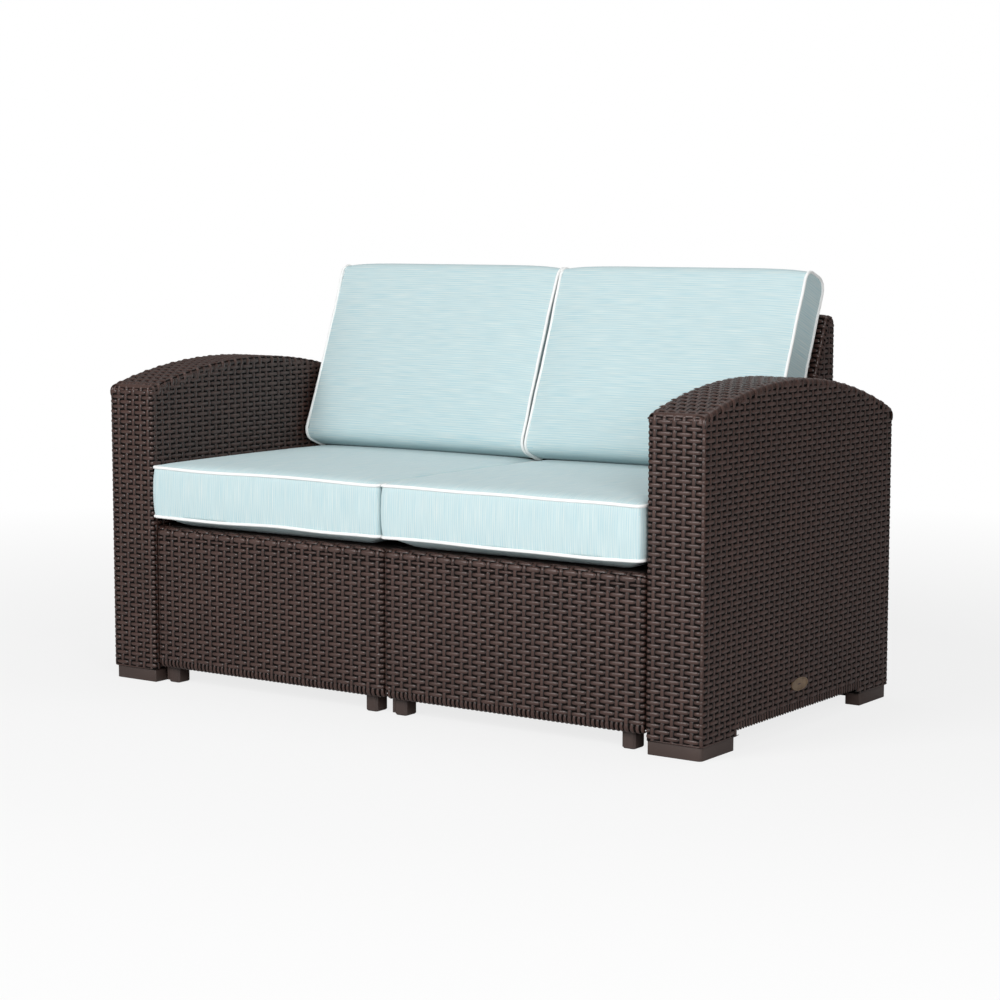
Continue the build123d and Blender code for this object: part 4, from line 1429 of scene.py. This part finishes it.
def backCushionMesh(seed):
    made = backPad
    bm = bmesh.new()
    t, h = backLoop(step=6)
    ring = [bm.verts.new((-made["halfWidth"], a, b)) for a, b in zip(t, h)]
    face = bm.faces.new(ring)
    out = bmesh.ops.extrude_face_region(bm, geom=[face])
    verts = grownFrom(out, bmesh.types.BMVert)
    bmesh.ops.translate(bm, verts=verts, vec=(2 * made["halfWidth"], 0, 0))
    bmesh.ops.recalc_face_normals(bm, faces=bm.faces[:])
    mesh = remeshed(bm, "backPad")
    coords = coordsOf(mesh)
    level = np.clip(coords[:, 2] / made["tall"], 0, 1)
    coords[:, 0] *= 1 - made["waist"] / made["halfWidth"] * np.sin(math.pi * level)
    seams = [backSeam(-1, seed), backSeam(1, seed + 3)]
    held = snapSeams(coords, seams, pad["voxel"] / mm * 0.62)
    half = made["thick"] / 2
    share = np.clip((coords[:, 1] - half) / half, -1, 1)
    crown = backCrown(coords[:, 0], coords[:, 2])
    push = np.where(share < 0, made["frontCrown"] * share, made["rearCrown"] * share)
    coords[:, 1] += np.where(held, 0, push * crown)
    across = 1 - np.abs(np.clip(coords[:, 0] / made["halfWidth"], -1, 1)) ** 7
    upper = np.clip((coords[:, 2] - made["tall"] / 2) / (made["tall"] / 2), 0, 1)
    coords[:, 2] += np.where(held, 0, made["topCrown"] * across * upper**3)
    moveCoords(mesh, coords)
    mesh = inflated(mesh, held, made["cap"])
    return mesh, seams


def seamPiping(path, name, radius):
    curve = bpy.data.curves.new(name, "CURVE")
    curve.dimensions = "3D"
    curve.bevel_depth = radius * mm
    curve.bevel_resolution = 3
    spline = curve.splines.new("POLY")
    points = path[::4] * mm
    spline.points.add(len(points) - 1)
    flat = np.concatenate([points, np.ones((len(points), 1))], 1)
    spline.points.foreach_set("co", flat.ravel())
    spline.use_cyclic_u = True
    piece = bpy.data.objects.new(name, curve)
    bpy.context.scene.collection.objects.link(piece)
    return bakedMesh(piece)


def clothMaterial():
    material, tree, shader = newMaterial("aquaCloth")
    streaks = groupNode(tree, shade["clothStreaks"])
    place = tree.nodes.new("ShaderNodeUVMap")
    tree.links.new(place.outputs["UV"], streaks.inputs["Place"])
    fine = mathNode(tree, "MULTIPLY_ADD", streaks.outputs["Streak"], 1.35, -0.175)
    fine = mathNode(tree, "MULTIPLY_ADD", streaks.outputs["Thread"], 0.2, fine, clamp=True)
    colour = mixColour(tree, fine, (0.40, 0.575, 0.62, 1), (0.60, 0.685, 0.68, 1))
    broad = mathNode(tree, "MULTIPLY_ADD", streaks.outputs["Broad"], 0.08, 0.96)
    colour = mixColour(tree, 1.0, colour, broad, "MULTIPLY")
    tree.links.new(colour, shader.inputs["Base Color"])
    shader.inputs["Roughness"].default_value = 0.92
    shader.inputs["Specular IOR Level"].default_value = 0.2
    shader.inputs["Sheen Weight"].default_value = 0.12
    tree.links.new(bumpNode(tree, streaks.outputs["Streak"], 0.12, 0.0004), shader.inputs["Normal"])
    return material


def pipingMaterial():
    material, tree, shader = newMaterial("whitePiping")
    grain = groupNode(tree, shade["mouldGrain"], Grain_Scale=900.0, Tone_Scale=40.0)
    colour = mixColour(tree, grain.outputs["Tone"], (0.80, 0.81, 0.80, 1), (0.90, 0.91, 0.90, 1))
    tree.links.new(colour, shader.inputs["Base Color"])
    shader.inputs["Roughness"].default_value = 0.85
    tree.links.new(bumpNode(tree, grain.outputs["Grain"], 0.5, 0.0006), shader.inputs["Normal"])
    return material


def putUv(mesh, place):
    # place gives the across and along coordinates, in metres, for each corner of each face
    corners = np.empty(len(mesh.loops), dtype=np.int64)
    mesh.loops.foreach_get("vertex_index", corners)
    counts = np.empty(len(mesh.polygons), dtype=np.int64)
    mesh.polygons.foreach_get("loop_total", counts)
    middles = np.empty(len(mesh.polygons) * 3)
    mesh.polygons.foreach_get("center", middles)
    normals = np.empty(len(mesh.polygons) * 3)
    mesh.polygons.foreach_get("normal", normals)
    owner = np.repeat(np.arange(len(counts)), counts)
    coords = coordsOf(mesh)
    uv = place(coords[corners], middles.reshape(-1, 3)[owner], normals.reshape(-1, 3)[owner])
    layer = mesh.uv_layers.new(name="cloth")
    layer.data.foreach_set("uv", uv.astype(np.float32).ravel())


def seatUv(coords, middles, normals):
    height = middles[:, 2]
    side = (np.abs(normals[:, 2]) < 0.55) & (height > seatPad["lowerSeam"]) & (height < seatPad["upperSeam"])
    sideways = side & (np.abs(normals[:, 0]) > np.abs(normals[:, 1]))
    across = np.where(sideways, coords[:, 1] + 700, coords[:, 0])
    along = np.where(side, coords[:, 2], coords[:, 1])
    return np.stack([across, along], 1) * mm


def backUv(coords, middles, normals):
    # own axes: across, through, up
    gusset = np.abs(normals[:, 0]) > 0.75
    flatTop = (np.abs(normals[:, 2]) > 0.7) & ~gusset
    across = np.where(flatTop, coords[:, 1] + 900, coords[:, 2])
    along = np.where(gusset, coords[:, 1] + 1300, coords[:, 0])
    return np.stack([across, along], 1) * mm


def finishCushion(name, mesh, seams, body, shiftX, turned):
    if turned:
        moveCoords(mesh, leaned(coordsOf(mesh)))
        seams = [leaned(path) for path in seams]
    mesh.transform(Matrix.Translation((shiftX, 0, 0)))
    mesh.transform(Matrix.Scale(mm, 4))
    bm = bmesh.new()
    bm.from_mesh(mesh)
    bmesh.ops.recalc_face_normals(bm, faces=bm.faces[:])
    bm.to_mesh(mesh)
    bm.free()
    piece = finishPiece(name, mesh, body, shade["cloth"], (f"{body}_cover", f"{body}_core"))
    smooth = piece.modifiers.new("smooth", "SUBSURF")
    smooth.levels = 1
    smooth.render_levels = 1
    for number, path in enumerate(seams):
        path = path + np.array([shiftX, 0, 0])
        piping = seamPiping(path, f"{name}_piping{number}", pad["piping"])
        finishPiece(f"{name}_piping{number}", piping, body, shade["piping"])


def buildCushions():
    for number, side in enumerate(("left", "right")):
        mesh, seams = seatCushionMesh(100 + 20 * number)
        putUv(mesh, seatUv)
        body, middle = f"seat_cushion_{side}", pad["seatMiddle"][side]
        finishCushion(f"seatCushion_{side}", mesh, seams, body, middle, False)
        mesh, seams = backCushionMesh(200 + 20 * number)
        putUv(mesh, backUv)
        body, middle = f"back_cushion_{side}", pad["backMiddle"][side]
        finishCushion(f"backCushion_{side}", mesh, seams, body, middle, True)
        print("cushions of the", side, "seat sewn")


shade["cloth"] = clothMaterial()
shade["piping"] = pipingMaterial()
buildCushions()
